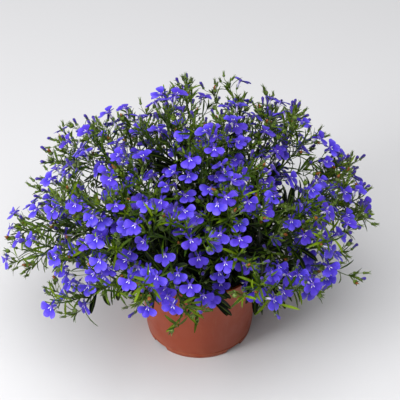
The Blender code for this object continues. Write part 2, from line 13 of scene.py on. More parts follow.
import bmesh
import bpy
import numpy as np
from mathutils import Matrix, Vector

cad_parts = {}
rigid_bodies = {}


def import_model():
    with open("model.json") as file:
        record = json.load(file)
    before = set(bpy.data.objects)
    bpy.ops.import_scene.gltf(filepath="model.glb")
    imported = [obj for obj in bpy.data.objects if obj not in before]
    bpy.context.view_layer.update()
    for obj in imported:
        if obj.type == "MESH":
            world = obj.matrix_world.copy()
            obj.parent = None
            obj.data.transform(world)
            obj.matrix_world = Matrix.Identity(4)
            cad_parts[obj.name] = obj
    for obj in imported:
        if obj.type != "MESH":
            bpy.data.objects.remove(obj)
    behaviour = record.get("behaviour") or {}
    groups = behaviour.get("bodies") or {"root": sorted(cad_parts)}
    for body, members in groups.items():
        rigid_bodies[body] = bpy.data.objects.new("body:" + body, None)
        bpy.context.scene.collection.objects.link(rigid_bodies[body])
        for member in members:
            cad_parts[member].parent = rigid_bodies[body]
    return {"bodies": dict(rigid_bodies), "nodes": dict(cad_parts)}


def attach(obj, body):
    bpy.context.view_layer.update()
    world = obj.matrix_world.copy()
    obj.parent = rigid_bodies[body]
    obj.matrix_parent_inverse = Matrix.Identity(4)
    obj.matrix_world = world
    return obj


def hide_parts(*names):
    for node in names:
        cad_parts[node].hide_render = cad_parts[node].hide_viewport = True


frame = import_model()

log = logging.getLogger("lobelia")

BODY = "root"
UP = np.array([0.0, 0.0, 1.0])
RIGHT = np.array([1.0, 0.0, 0.0])
GOLDEN = math.pi * (3 - math.sqrt(5))
MARKS = ("tone", "along", "across")

Vec = np.ndarray
Faces = list[np.ndarray]
Socket = bpy.types.NodeSocket
Material = bpy.types.Material
Value = Union[Socket, float, tuple]
Pair = tuple[float, float]


def unit(vector: Vec) -> Vec:
    """The vector at length 1."""
    return vector / np.linalg.norm(vector)


def across(axis: Vec, wish: Vec) -> Vec:
    """The unit vector square to an axis that is nearest to a wish.

    Args:
        axis: a unit vector.
        wish: the direction to keep close to.

    Returns:
        A unit vector square to axis.
    """
    flat = wish - axis * (wish @ axis)
    if np.linalg.norm(flat) < 1e-6:
        flat = RIGHT - axis * axis[0]
    return unit(flat)


def turned_off(axis: Vec, side: Vec, turn: float) -> Vec:
    """The direction at an angle turn from side, going round an axis."""
    return side * math.cos(turn) + np.cross(axis, side) * math.sin(turn)


def heading(tilt: float, turn: float) -> Vec:
    """The direction at an angle tilt from straight up, and turn round the pot from +X."""
    return np.array([math.sin(tilt) * math.cos(turn), math.sin(tilt) * math.sin(turn), math.cos(tilt)])


def smooth(value: Vec, low: float, high: float) -> Vec:
    """A soft step of value from 0 at low to 1 at high."""
    share = np.clip((value - low) / (high - low), 0, 1)
    return share * share * (3 - 2 * share)


def srgb(red: float, green: float, blue: float) -> tuple[float, float, float, float]:
    """The shader's colour for a screen colour of 0 to 255 a channel."""
    return (*((channel / 255) ** 2.2 for channel in (red, green, blue)), 1.0)


def arch(start: Vec, rise: Vec, finish: Vec, lean: Vec, points: int) -> Vec:
    """Points on the curve that leaves start along rise and comes to finish along lean.

    Args:
        start: the first point.
        rise: the way and strength with which the curve sets out.
        finish: the last point.
        lean: the way and strength with which it arrives.
        points: how many points to give.

    Returns:
        The points, one row each.
    """
    t = np.linspace(0, 1, points)[:, None]
    return (
        start * (1 - t) ** 3
        + 3 * (start + rise) * t * (1 - t) ** 2
        + 3 * (finish - lean) * t**2 * (1 - t)
        + finish * t**3
    )


@dataclass
class Shoot:
    """One stem: its curve, its radii at the foot and the end, and the share of it from which blooms start."""

    curve: tuple[Vec, Vec, Vec, Vec]
    coarse: int
    radii: Pair
    bears_from: float

    def __post_init__(self) -> None:
        """Works out the points that blooms and leaves are set on."""
        self.line = arch(*self.curve, self.coarse)

    def at(self, share: float) -> tuple[Vec, Vec]:
        """The point at a share of the stem's length, and the stem's direction there.

        Args:
            share: 0 at the foot, 1 at the end.

        Returns:
            The point and a unit vector.
        """
        steps = np.linalg.norm(np.diff(self.line, axis=0), axis=1)
        along = np.concatenate([[0], np.cumsum(steps)])
        place = share * along[-1]
        k = min(int(np.searchsorted(along, place, side="right")) - 1, len(steps) - 1)
        part = (place - along[k]) / steps[k]
        step = self.line[k + 1] - self.line[k]
        return self.line[k] + part * step, step / steps[k]

    def fine(self, points: int) -> Vec:
        """The curve itself at this many points."""
        return arch(*self.curve, points)


@dataclass
class Bloom:
    """One flower: its stalk's foot, its calyx, its throat, the way it faces, its upper side, its radius."""

    seat: Vec
    calyx: Vec
    throat: Vec
    facing: Vec
    top: Vec
    size: float

    def basis(self) -> np.ndarray:
        """Its sideways, up and forward directions, one row each."""
        return np.stack([np.cross(self.top, self.facing), self.top, self.facing])


@dataclass
class Leaf:
    """One leaf: root, tip, the direction of its upper side, its width, its outline, and how young and how lit
    it looks.
    """

    root: Vec
    tip: Vec
    upper: Vec
    width: float
    broad: bool = False
    # How young and how lit the leaf looks: low values are partly older leaves and partly painted shade deep
    # inside the plant.
    youth_and_light: float = 0.5


class Stage(Enum):
    """How far a bud has come."""

    GREEN = "green bud"
    COLOURED = "coloured bud"
    POD = "seed pod"
    WITHERED = "pod with a withered flower"


@dataclass
class Bud:
    """A closed bud or a seed pod on its stalk."""

    seat: Vec
    base: Vec
    facing: Vec
    length: float
    stage: Stage


@dataclass
class Spray:
    """A leafy stem with its side shoots, leaves, blooms and buds."""

    shoots: list[Shoot]
    blooms: list[Bloom] = field(default_factory=list)
    leaves: list[Leaf] = field(default_factory=list)
    buds: list[Bud] = field(default_factory=list)


@dataclass
class PotSizes:
    """The measures of the nursery pot and its soil."""

    rim_radius: float = 0.0600
    height: float = 0.0920
    foot_radius: float = 0.0503
    wall: float = 0.0016
    floor_thickness: float = 0.0018
    foot_height: float = 0.0062
    floor_lift: float = 0.0024
    pad_radius: float = 0.0090
    band_height: float = 0.0085
    notches: int = 4
    notch_width: float = 0.0178
    notch_turn: float = math.radians(-48.5)
    drain_radius: float = 0.0040
    drain_circle: float = 0.0300
    soil_edge_z: float = 0.0780
    soil_rise: float = 0.0025
    soil_reach: float = 0.0550
    seat_gap: float = 0.0003
    stem_sunk: float = 0.0081
    band_step: float = 0.0016
    foot_step: float = 0.0008
    growth_gap: float = 0.0008
    lowest_growth: float = 0.0200

    def wall_radius(self, z: float) -> float:
        """The outside radius of the wall at a height, without the foot and the band."""
        foot, top = self.foot_radius + self.foot_step, self.rim_radius - self.band_step
        return foot + (top - foot) * z / self.height

    def soil_z(self, radius: float) -> float:
        """The height of the soil at a distance from the pot's axis."""
        return self.soil_edge_z + self.soil_rise * (1 - min(1.0, radius / self.soil_reach))

    def clear(self, at: Vec, radius: float) -> bool:
        """Whether balls stay off the pot, the soil and the ground.

        Args:
            at: the balls' centres.
            radius: their radius.

        Returns:
            True if all of them do.
        """
        out = np.hypot(at[:, 0], at[:, 1])
        margin = radius + self.growth_gap
        over_rim = at[:, 2] > self.height + margin
        outside = out > self.rim_radius + margin
        over_soil = at[:, 2] > self.soil_edge_z + self.soil_rise + margin
        inside = (out < self.wall_radius(self.soil_edge_z) - self.wall - margin) & over_soil
        return bool(((over_rim | outside | inside) & (at[:, 2] > self.lowest_growth)).all())


@dataclass(frozen=True)
class Berth:
    """The room that one kind of growth needs.

    It is tested with balls of radius ball, against the balls of its own spray and of the others, which count
    with these shares of their size. It then keeps balls of radius kept.
    """

    ball: float
    own_share: float
    other_share: float
    kept: float


class Room:
    """Balls that stand for all that has grown so far, so that nothing grows through anything else."""

    def __init__(self, pot: PotSizes, most: int = 80000, reach: float = 0.008) -> None:
        """Starts with the pot alone.

        Args:
            pot: the pot and its soil.
            most: the greatest number of balls.
            reach: how much further than its own points a test looks.
        """
        self.pot = pot
        self.reach = reach
        self.at = np.zeros((most, 3))
        self.radius = np.zeros(most)
        self.owner = np.zeros(most, int)
        self.count = 0

    def add(self, at: Vec, radius: float, owner: int) -> None:
        """Keeps balls for one spray.

        Args:
            at: the balls' centres.
            radius: their radius.
            owner: the number of the spray.
        """
        new = slice(self.count, self.count + len(at))
        self.at[new], self.radius[new], self.owner[new] = at, radius, owner
        self.count += len(at)

    def free(self, at: Vec, radius: float, owner: int, own_share: float, other_share: float = 1.0) -> bool:
        """Whether balls at these points touch none of the others.

        Args:
            at: the balls' centres.
            radius: their radius.
            owner: the number of the spray that they belong to.
            own_share: how much of their size the spray's own balls keep.
            other_share: how much of their size the other sprays' balls keep.

        Returns:
            True if there is room.
        """
        if not self.pot.clear(at, radius):
            return False
        middle = at.mean(axis=0)
        steps = self.at[: self.count] - middle
        far = np.linalg.norm(at - middle, axis=1).max() + self.reach
        near = np.flatnonzero(np.einsum("ij,ij->i", steps, steps) < far * far)
        reach = (self.radius[near] + radius) * np.where(self.owner[near] == owner, own_share, other_share)
        gaps = self.at[near][None] - at[:, None]
        return bool((np.einsum("ijk,ijk->ij", gaps, gaps) > (reach * reach)[None]).all())


def balls_on(start: Vec, finish: Vec, spacing: float) -> Vec:
    """Evenly spaced points from start to finish."""
    count = max(2, int(np.linalg.norm(finish - start) / spacing) + 2)
    return start + np.linspace(0, 1, count)[:, None] * (finish - start)


def first_fit(attempt: Callable, tries: int) -> list:
    """The first result of an attempt that isn't None.

    Args:
        attempt: a function with a random draw in it.
        tries: how often it may be called.

    Returns:
        A list of that result alone, or an empty one if no try gave one.
    """
    for _ in range(tries):
        found = attempt()
        if found is not None:
            return [found]
    return []


@dataclass
class GrowthPlan:
    """Where the stems, blooms and main leaves of the plant grow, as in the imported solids."""

    pot: PotSizes
    crown_z: float = 0.0950
    dome_radius: float = 0.1630
    dome_rise: float = 0.1340
    dome_sprays: int = 34
    dome_edge: float = math.radians(86)
    dome_fullness: float = 2.3
    front_lift: float = 0.22
    skirt_sprays: int = 8
    root_ring: Pair = (0.006, 0.036)
    skirt_ring: float = 0.041
    side_spread: float = math.radians(13)
    stem_radius: Pair = (0.00135, 0.00110)
    shoot_radius: Pair = (0.00115, 0.00100)
    bloom_radius: float = 0.0104
    tube_length: float = 0.0085
    stalk_length: Pair = (0.009, 0.019)
    leader_blooms: int = 4
    shoot_blooms: int = 3
    skirt_blooms: int = 2
    high_tilt: float = 0.60
    leaves_per_tip: int = 1
    basal_leaves: int = 3
    leaf_length: Pair = (0.013, 0.022)
    leaf_width: float = 0.0030
    basal_length: Pair = (0.022, 0.029)
    basal_width: float = 0.0052
    seed: int = 372
    ball_step: float = 0.0021
    stem_ball: float = 0.0020
    stalk_ball: float = 0.0014
    lobe_ball: float = 0.0030
    leaf_gap: float = 0.0003
    stem_tries: int = 400
    shoot_tries: int = 60
    bloom_tries: int = 80
    leaf_tries: int = 40

    def __post_init__(self) -> None:
        """Sets the random draw and the empty room."""
        self.rng = np.random.default_rng(self.seed)
        self.room = Room(self.pot)
        self.crown = np.array([0.0, 0.0, self.crown_z])
        self.sprays: list[Spray] = []
        self.bearings: list[Pair] = []

    def dome_point(self, tilt: float, turn: float, share: float) -> Vec:
        """The point at a share of the way from the crown to the dome's surface.

        Args:
            tilt: the way's angle from straight up.
            turn: its angle round the pot.
            share: 0 at the crown, 1 at the surface.

        Returns:
            The point.
        """
        flat = (math.sin(tilt) / self.dome_radius) ** self.dome_fullness
        tall = (abs(math.cos(tilt)) / self.dome_rise) ** self.dome_fullness
        return self.crown + share * (flat + tall) ** (-1 / self.dome_fullness) * heading(tilt, turn)

    def balls(self, shoot: Shoot) -> Vec:
        """Evenly spaced points along a stem."""
        return np.vstack([balls_on(a, b, self.ball_step) for a, b in zip(shoot.line[:-1], shoot.line[1:])])

    def root(self, ring: float, turn: float) -> Vec:
        """The point on the soil at a distance from the pot's axis, in the direction turn."""
        return np.array([ring * math.cos(turn), ring * math.sin(turn), self.pot.soil_z(ring)])

    def lean_share(self, turn: float) -> float:
        """How far the stems lean over on this side: less at the front, so that they show the pot."""
        front = min(1.0, max(0.0, (-math.sin(turn) - 0.45) / 0.45))
        return 1 - self.front_lift * front * front * (3 - 2 * front)

    def dome_stem(self, index: int) -> tuple[Shoot, float, float]:
        """The leading stem of a spray of the dome.

        Args:
            index: the number of the spray.

        Returns:
            The stem, and the tilt and turn that it grows along.
        """
        rng = self.rng
        height = 1 - (index + 0.5) / self.dome_sprays * (1 - math.cos(self.dome_edge))
        turn = index * GOLDEN + rng.uniform(-0.14, 0.14)
        tilt = math.acos(height) * self.lean_share(turn) + rng.uniform(-0.06, 0.06)
        finish = self.dome_point(tilt, turn, 0.90 + 0.24 * rng.random() ** 1.6)
        ring = self.root_ring[0] + (self.root_ring[1] - self.root_ring[0]) * tilt / self.dome_edge
        root = self.root(ring, turn)
        length = np.linalg.norm(finish - root)
        rise = UP * length * (0.42 - 0.10 * tilt)
        lean = unit(0.8 * heading(tilt, turn) + 0.5 * UP) * length * 0.30
        return Shoot((root, rise, finish, lean), 6, self.stem_radius, 0.50), tilt, turn

    def skirt_stem(self, index: int) -> Shoot:
        """A short stem that leans out over the pot's rim.

        Args:
            index: its number among the skirt's stems.

        Returns:
            The stem.
        """
        rng = self.rng
        turn = -math.pi / 2 + (index + 0.04) * 2 * math.pi / self.skirt_sprays + rng.uniform(-0.08, 0.08)
        out = heading(math.pi / 2, turn)
        finish = out * rng.uniform(0.074, 0.086) + UP * (self.pot.height + rng.uniform(0.010, 0.018))
        curve = (self.root(self.skirt_ring, turn), UP * 0.030, finish, 0.020 * unit(out - 0.15 * UP))
        return Shoot(curve, 6, self.stem_radius, 0.45)

    def side_shoot(self, leader: Shoot, tilt: float, turn: float, side: int) -> Shoot:
        """A shoot that leaves the leading stem part of the way up and ends beside its tip.

        Args:
            leader: the stem that it grows from.
            tilt: the leader's angle from straight up.
            turn: the leader's angle round the pot.
            side: 1 or -1, the side that it grows to.

        Returns:
            The shoot.
        """
        rng = self.rng
        spread = self.side_spread * rng.uniform(0.9, 1.35)
        bearing = rng.uniform(0.2, 1.0) * side * math.pi / 2
        new_tilt = abs(tilt + spread * math.cos(bearing) * rng.choice([-1, 1]))
        new_turn = turn + side * spread * abs(math.sin(bearing)) / max(0.35, math.sin(tilt))
        finish = self.dome_point(min(new_tilt, self.dome_edge), new_turn, rng.uniform(0.90, 1.05))
        start, along = leader.at(rng.uniform(0.36, 0.50))
        length = np.linalg.norm(finish - start)
        lean = unit(finish - start + 0.3 * length * UP) * length * 0.3
        return Shoot((start, along * length * 0.35, finish, lean), 5, self.shoot_radius, 0.38)

    def bloom_balls(self, bloom: Bloom) -> Vec:
        """Points that stand for the flat of a bloom: its throat and places on its lobes.

        Args:
            bloom: the bloom.

        Returns:
            The points, one row each.
        """
        side = np.cross(bloom.top, bloom.facing)
        places = [(0, 0)] + [(turn, reach) for turn in (-65, 0, 65) for reach in (0.42, 0.80)]
        places += [(-152, 0.5), (152, 0.5)]
        points = []
        for turn, reach in places:
            angle = math.radians(turn)
            flat = side * math.sin(angle) - bloom.top * math.cos(angle)
            points.append(bloom.throat + reach * bloom.size * flat)
        return np.array(points)

    def try_bloom(self, shoot: Shoot, share: float, owner: int, ease: float = 1.0) -> Optional[Bloom]:
        """A bloom on a stem that is clear of all else.

        Args:
            shoot: the stem.
            share: the place along it.
            owner: the number of the spray.
            ease: how much of its size the room that it needs keeps.

        Returns:
            The bloom, or None if it found no room.
        """
        rng = self.rng
        seat, along = shoot.at(share)
        outward = unit(seat - self.crown + 0.02 * UP)
        facing = unit(outward + 0.35 * UP + 0.55 * rng.normal(size=3) / math.sqrt(3))
        reach = unit(facing + across(along, rng.normal(size=3)) * rng.uniform(0.5, 1.3))
        calyx = seat + reach * rng.uniform(*self.stalk_length)
        size = self.bloom_radius * rng.uniform(0.88, 1.06)
        top = across(facing, UP - 0.15 * outward + 0.3 * rng.normal(size=3) / math.sqrt(3))
        bloom = Bloom(seat, calyx, calyx + facing * self.tube_length, facing, top, size)
        if reach @ facing < 0.35:
            return None
        stalk = balls_on(seat + 0.35 * (calyx - seat), bloom.throat, self.ball_step)
        flat = self.bloom_balls(bloom)
        if not self.room.free(flat, self.lobe_ball, owner, 0.85 * ease, ease):
            return None
        if not self.room.free(stalk, self.stalk_ball, owner, 0.6 * ease, ease):
            return None
        self.room.add(flat, self.lobe_ball, owner)
        self.room.add(balls_on(seat, bloom.throat, self.ball_step), self.stalk_ball, owner)
        return bloom

    def try_leaf(
        self, owner: int, shoot: Shoot, share: float, lengths: Pair, width: float
    ) -> Optional[Leaf]:
        """A leaf on a stem that is clear of all else.

        Args:
            owner: the number of the spray.
            shoot: the stem.
            share: the place along it.
            lengths: the shortest and the longest that it may be.
            width: its width.

        Returns:
            The leaf, or None if it found no room.
        """
        rng = self.rng
        root, along = shoot.at(share)
        outward = across(along, rng.normal(size=3))
        reach = unit(outward + along * rng.uniform(0.35, 0.9) + 0.15 * UP)
        tip = root + reach * rng.uniform(*lengths)
        balls = balls_on(root + 0.25 * (tip - root), tip, self.ball_step)
        ball = 0.5 * width + self.leaf_gap
        if not self.room.free(balls, ball, owner, 0.6):
            return None
        self.room.add(balls, ball, owner)
        broad = width > 0.004
        upper = across(reach, along + 0.6 * UP)
        return Leaf(root - 0.0003 * reach, tip, upper, width, broad, 0.25 if broad else 0.6)

    def grow_stems(self) -> None:
        """Grows the leading stems and one side shoot on each of the dome's."""

        def try_stem(index: int) -> Optional[tuple[Shoot, float, float]]:
            """A leading stem that is clear of the others.

            Args:
                index: the number of its spray.

            Returns:
                The stem, its tilt and its turn, or None.
            """
            if index < self.dome_sprays:
                grown = self.dome_stem(index)
            else:
                grown = (self.skirt_stem(index - self.dome_sprays), 0.0, 0.0)
            balls = self.balls(grown[0])
            above = balls[balls[:, 2] > self.pot.soil_edge_z + 0.006]
            return grown if self.room.free(above, self.stem_ball, index, 1.0) else None

        def try_shoot(index: int) -> Optional[Shoot]:
            """A side shoot that is clear of the other sprays, or None."""
            shoot = self.side_shoot(self.sprays[index].shoots[0], *self.bearings[index], 1 - 2 * (index % 2))
            return shoot if self.room.free(self.balls(shoot)[5:], self.stem_ball, index, 0.0) else None

        for i in range(self.dome_sprays + self.skirt_sprays):
            leader, tilt, turn = first_fit(lambda: try_stem(i), self.stem_tries)[0]
            self.sprays.append(Spray([leader]))
            self.bearings.append((tilt, turn))
            self.room.add(self.balls(leader), self.stem_ball, i)
        for i in range(self.dome_sprays):
            for shoot in first_fit(lambda: try_shoot(i), self.shoot_tries):
                self.sprays[i].shoots.append(shoot)
                self.room.add(self.balls(shoot), self.stem_ball, i)

    def grow(self) -> list[Spray]:
        """Grows the plant: stems first, then blooms, then leaves.

        Returns:
            The sprays in the order of their nodes.
        """
        self.grow_stems()
        for k in range(self.leader_blooms):
            for i, spray in enumerate(self.sprays):
                for number, shoot in enumerate(spray.shoots):
                    count = self.blooms_on(i, number)
                    if k < count:
                        step = (0.97 - shoot.bears_from) * (k + self.rng.uniform(0.2, 0.8)) / count
                        share = shoot.bears_from + step
                        spray.blooms += first_fit(lambda: self.try_bloom(shoot, share, i), self.bloom_tries)
        for k in range(self.basal_leaves):
            for i in range(self.dome_sprays, len(self.sprays)):
                shoot = self.sprays[i].shoots[0]
                self.bear_leaf(i, shoot, 0.50 + 0.16 * k, self.basal_length, self.basal_width)
        for k in range(self.leaves_per_tip):
            for i, spray in enumerate(self.sprays):
                for shoot in spray.shoots:
                    share = 0.30 + 0.66 * (k + self.rng.uniform(0.2, 1.0)) / self.leaves_per_tip
                    self.bear_leaf(i, shoot, share, self.leaf_length, self.leaf_width)
        return self.sprays

    def blooms_on(self, owner: int, number: int) -> int:
        """How many blooms a stem bears: one fewer near the dome's top.

        Args:
            owner: the number of the spray.
            number: 0 for its leading stem.

        Returns:
            The number of blooms.
        """
        if owner >= self.dome_sprays:
            return self.skirt_blooms
        fewer = 1 if self.bearings[owner][0] < self.high_tilt else 0
        return (self.shoot_blooms if number else self.leader_blooms) - fewer

    def bear_leaf(self, owner: int, shoot: Shoot, share: float, lengths: Pair, width: float) -> None:
        """Adds a leaf to a spray, if one finds room."""
        found = first_fit(lambda: self.try_leaf(owner, shoot, share, lengths, width), self.leaf_tries)
        self.sprays[owner].leaves += found


@dataclass(frozen=True)
class BroadLeaves:
    """One kind of broad leaf on a leading stem, dark by default: partly older leaves, partly painted shade
    inside the plant.

    The places are the share of the stem where they start and the share that they take up. The share bare of a
    leaf, at its root, needs no room. Scattered ones are moved along the stem by chance.
    """

    count: int
    places: Pair
    length: Pair
    width: Pair
    berth: Berth
    tries: int
    scattered: bool
    # Dark by default: these near-black leaves paint the shade inside the plant.
    youth_and_light: Pair = (0.0, 0.12)
    bare: float = 0.35


@dataclass
class FineGrowth:
    """What grows between the main pieces: twigs, more blooms, small leaves, tip rosettes, buds and pods.

    The margin is how far it may pass the main growth's box, and reach its limit as a share of the dome's
    surface. Sprigs grow beside the plant, and within sprig_zone of its middle plane sprig_reach is the limit.
    Stems whose tips lie further back than rear bear one more twig. Blooms nearer than near to a stem's end
    crowd it. Tries are how often a place for each kind is sought.
    """

    plan: GrowthPlan
    seed: int = 29
    twigs_per_leader: int = 3
    twigs_per_shoot: int = 2
    rear: float = 0.050
    twig_length: Pair = (0.016, 0.032)
    twig_radius: Pair = (0.00075, 0.0006)
    twig_berth: Berth = Berth(0.0010, 0.75, 0.80, 0.0010)
    twig_tries: int = 30
    sprigs: int = 14
    sprig_length: Pair = (0.026, 0.044)
    sprig_levels: Pair = (0.115, 0.185)
    sprig_depths: Pair = (-0.050, 0.055)
    sprig_tries: int = 60
    sprig_blooms: Pair = (0.92, 0.68)
    sprig_bloom_ease: float = 0.85
    sprig_bloom_tries: int = 30
    sprig_zone: float = 0.062
    sprig_reach: float = 1.35
    reach: float = 1.12
    margin: tuple[float, float, float] = (0.013, 0.008, 0.002)
    extra_blooms: int = 125
    extra_ease: float = 0.80
    extra_tries: int = 40
    bloomed_shoots: int = 4
    near: float = 0.024
    leaf_step: float = 0.0052
    leaf_length: Pair = (0.012, 0.023)
    leaf_width: Pair = (0.0021, 0.0029)
    leaf_berth: Berth = Berth(0.0006, 0.55, 0.75, 0.0009)
    leaf_bare: float = 0.30
    leaf_ball_step: float = 0.0030
    leaf_tries: int = 5
    # Broad leaves over the rim and deep inside the plant, near-black by default: painted shade under and
    # within the foliage, as well as older leaves.
    rim: BroadLeaves = BroadLeaves(
        6, (0.60, 0.38), (0.024, 0.034), (0.0052, 0.0066), Berth(0.0016, 0.60, 0.85, 0.0020), 60, False
    )
    inner: BroadLeaves = BroadLeaves(
        16, (0.06, 0.60), (0.018, 0.032), (0.0050, 0.0085), Berth(0.0009, 0.30, 0.60, 0.0009), 12, True
    )
    rosette_leaves: int = 7
    rosette_youth: float = 0.48
    # Rosettes on the skirt sprays are set much darker: painted shade under the dome.
    skirt_youth_in_shade: float = 0.12
    buds_per_tip: int = 3
    coloured_share: float = 0.28
    withered_share: float = 0.40
    coloured_length: Pair = (0.0055, 0.0090)
    bud_length: Pair = (0.0035, 0.0058)
    bud_stalk: Pair = (0.006, 0.013)
    bud_berth: Berth = Berth(0.0012, 0.70, 0.80, 0.0012)
    bud_tries: int = 8
    bud_ball_step: float = 0.0022

    def __post_init__(self) -> None:
        """Sets the random draw and the bounds."""
        self.rng = np.random.default_rng(self.seed)
        grown = self.plan.room.at[: self.plan.room.count]
        self.low, self.high = grown.min(axis=0) - self.margin, grown.max(axis=0) + np.array(self.margin)

    def inside(self, points: Vec) -> bool:
        """Whether points stay near the room that the main pieces take up, and under the dome's surface.

        Args:
            points: the points, one row each.

        Returns:
            True if all of them do.
        """
        plan = self.plan
        steps = points - plan.crown
        flat = (np.hypot(steps[:, 0], steps[:, 1]) / plan.dome_radius) ** plan.dome_fullness
        tall = (np.abs(steps[:, 2]) / plan.dome_rise) ** plan.dome_fullness
        beside = np.abs(points[:, 1]) < self.sprig_zone
        within = (flat + tall) ** (1 / plan.dome_fullness) < np.where(beside, self.sprig_reach, self.reach)
        return bool(within.all() and (points > self.low).all() and (points < self.high).all())

    def takes(self, owner: int, balls: Vec, berth: Berth) -> bool:
        """Keeps room for something, if it finds room inside the bounds.

        Args:
            owner: the number of the spray.
            balls: points that stand for it.
            berth: how much room it needs.

        Returns:
            Whether it found room.
        """
        room, shares = self.plan.room, (berth.own_share, berth.other_share)
        fits = self.inside(balls) and room.free(balls, berth.ball, owner, *shares)
        if fits:
            room.add(balls, berth.kept, owner)
        return fits

    def takes_leaf(self, owner: int, root: Vec, tip: Vec, bare: float, berth: Berth) -> bool:
        """Keeps room for a leaf, as takes does; the share bare at its root needs none."""
        return self.takes(owner, balls_on(root + bare * (tip - root), tip, self.leaf_ball_step), berth)

    def grow(self) -> None:
        """Adds all the fine growth to the plan's sprays."""
        sprays = self.plan.sprays
        for owner in range(self.plan.dome_sprays, len(sprays)):
            self.grow_broad_leaves(owner, self.rim, self.rim_way)
        self.grow_sprigs()
        self.grow_twigs()
        self.grow_blooms()
        for owner, spray in enumerate(sprays):
            for number, shoot in enumerate(spray.shoots):
                if number or owner < self.plan.dome_sprays:
                    self.grow_rosette(owner, shoot)
                    self.grow_buds(owner, shoot)
        for owner, spray in enumerate(sprays):
            for shoot in spray.shoots:
                self.grow_leaves(owner, shoot)
        for owner in range(len(sprays)):
            self.grow_broad_leaves(owner, self.inner, self.inner_way)

    def branch(self, owner: int, start: Vec, reach: tuple, bends: tuple[Vec, Vec]) -> Optional[Shoot]:
        """A fine branch that is clear of the blooms and the other stems.

        Args:
            owner: the number of the spray.
            start: where it leaves its stem.
            reach: the direction and the distance of its end from there.
            bends: the directions in which it sets out and arrives, at any length.

        Returns:
            The branch, or None if it found no room.
        """
        way, length = reach
        rise, lean = unit(bends[0]) * length * 0.35, unit(bends[1]) * length * 0.4
        made = Shoot((start, rise, start + way * length, lean), 5, self.twig_radius, 0.5)
        return made if self.takes(owner, self.plan.balls(made)[3:], self.twig_berth) else None

    def grow_twigs(self) -> None:
        """Short side branches on the outer part of the stems."""
        for owner, spray in enumerate(self.plan.sprays):
            for number, shoot in enumerate(list(spray.shoots)):
                count = self.twigs_per_shoot if number else self.twigs_per_leader
                count += 1 if shoot.line[-1][1] > self.rear else 0
                count = count if owner < self.plan.dome_sprays else 1
                for k in range(count):
                    share = 0.42 + 0.5 * (k + 0.5) / count
                    spray.shoots += first_fit(lambda: self.try_twig(owner, shoot, share), self.twig_tries)

    def try_twig(self, owner: int, shoot: Shoot, share: float) -> Optional[Shoot]:
        """A twig that is clear of all else.

        Args:
            owner: the number of the spray.
            shoot: the stem that it grows from.
            share: the place along it.

        Returns:
            The twig, or None if it found no room.
        """
        rng = self.rng
        start, along = shoot.at(share + rng.uniform(-0.08, 0.08))
        outward = unit(start - self.plan.crown + 0.02 * UP)
        way = unit(along * 0.7 + outward * 0.5 + 0.9 * across(along, rng.normal(size=3)))
        length = rng.uniform(*self.twig_length)
        return self.branch(owner, start, (way, length), (along + way, way + 0.7 * outward + 0.4 * UP))

    def grow_sprigs(self) -> None:
        """Long loose side branches with a bloom or two, on the stems that lean over furthest."""
        bearings = self.plan.bearings[: self.plan.dome_sprays]
        reach = [math.sin(tilt) * abs(math.cos(turn)) for tilt, turn in bearings]
        for owner in np.argsort(reach)[::-1][: self.sprigs]:
            leader = self.plan.sprays[owner].shoots[0]
            for sprig in first_fit(lambda: self.try_sprig(owner, leader), self.sprig_tries):
                self.plan.sprays[owner].shoots.append(sprig)
                for share in self.sprig_blooms:
                    self.bear_bloom(owner, sprig, share, self.sprig_bloom_ease, self.sprig_bloom_tries)

    def try_sprig(self, owner: int, shoot: Shoot) -> Optional[Shoot]:
        """A long loose branch that reaches out past its stem's tip.

        Args:
            owner: the number of the spray.
            shoot: the stem that it grows from.

        Returns:
            The branch, or None if it found no room or ends in the wrong place.
        """
        rng, crown = self.rng, self.plan.crown
        start, along = shoot.at(rng.uniform(0.66, 0.92))
        out = across(UP, start - crown)
        way = unit(out + rng.uniform(-0.2, 0.6) * UP + 0.5 * rng.normal(size=3) / math.sqrt(3))
        length = rng.uniform(*self.sprig_length)
        finish = start + way * length
        beside = self.sprig_depths[0] < finish[1] < self.sprig_depths[1]
        level = self.sprig_levels[0] < finish[2] < self.sprig_levels[1]
        if not (beside and level):
            return None
        return self.branch(owner, start, (way, length), (along + 0.8 * way, way + 0.8 * UP))

    def bear_bloom(self, owner: int, shoot: Shoot, share: float, ease: float, tries: int) -> None:
        """Adds a bloom to a spray, if one of some tries finds room inside the bounds."""
        found = first_fit(lambda: self.plan.try_bloom(shoot, share, owner, ease), tries)
        self.plan.sprays[owner].blooms += [bloom for bloom in found if self.inside(bloom.throat[None])]

    def grow_blooms(self) -> None:
        """More blooms, first of all where the main ones leave gaps."""
        throats = np.array([bloom.throat for spray in self.plan.sprays for bloom in spray.blooms])
        shoots = []
        for owner, spray in enumerate(self.plan.sprays):
            bearing = spray.shoots[: self.bloomed_shoots if owner < self.plan.dome_sprays else 1]
            shoots += [(owner, shoot) for shoot in bearing]
        ends = np.array([shoot.at(0.9)[0] for _, shoot in shoots])
        crowds = (np.linalg.norm(ends[:, None] - throats[None], axis=2) < self.near).sum(axis=1)
        for k in np.argsort(crowds + self.rng.uniform(0, 2.5, len(shoots)))[: self.extra_blooms]:
            owner, shoot = shoots[k]
            share = self.rng.uniform(shoot.bears_from, 0.98)
            self.bear_bloom(owner, shoot, share, self.extra_ease, self.extra_tries)

    def grow_broad_leaves(self, owner: int, kind: BroadLeaves, aim: Callable) -> None:
        """Broad dark leaves of one kind on a leading stem.

        Args:
            owner: the number of the spray.
            kind: which leaves.
            aim: gives a leaf's direction and its upper side's, from its root and the stem's direction.
        """
        shoot = self.plan.sprays[owner].shoots[0]

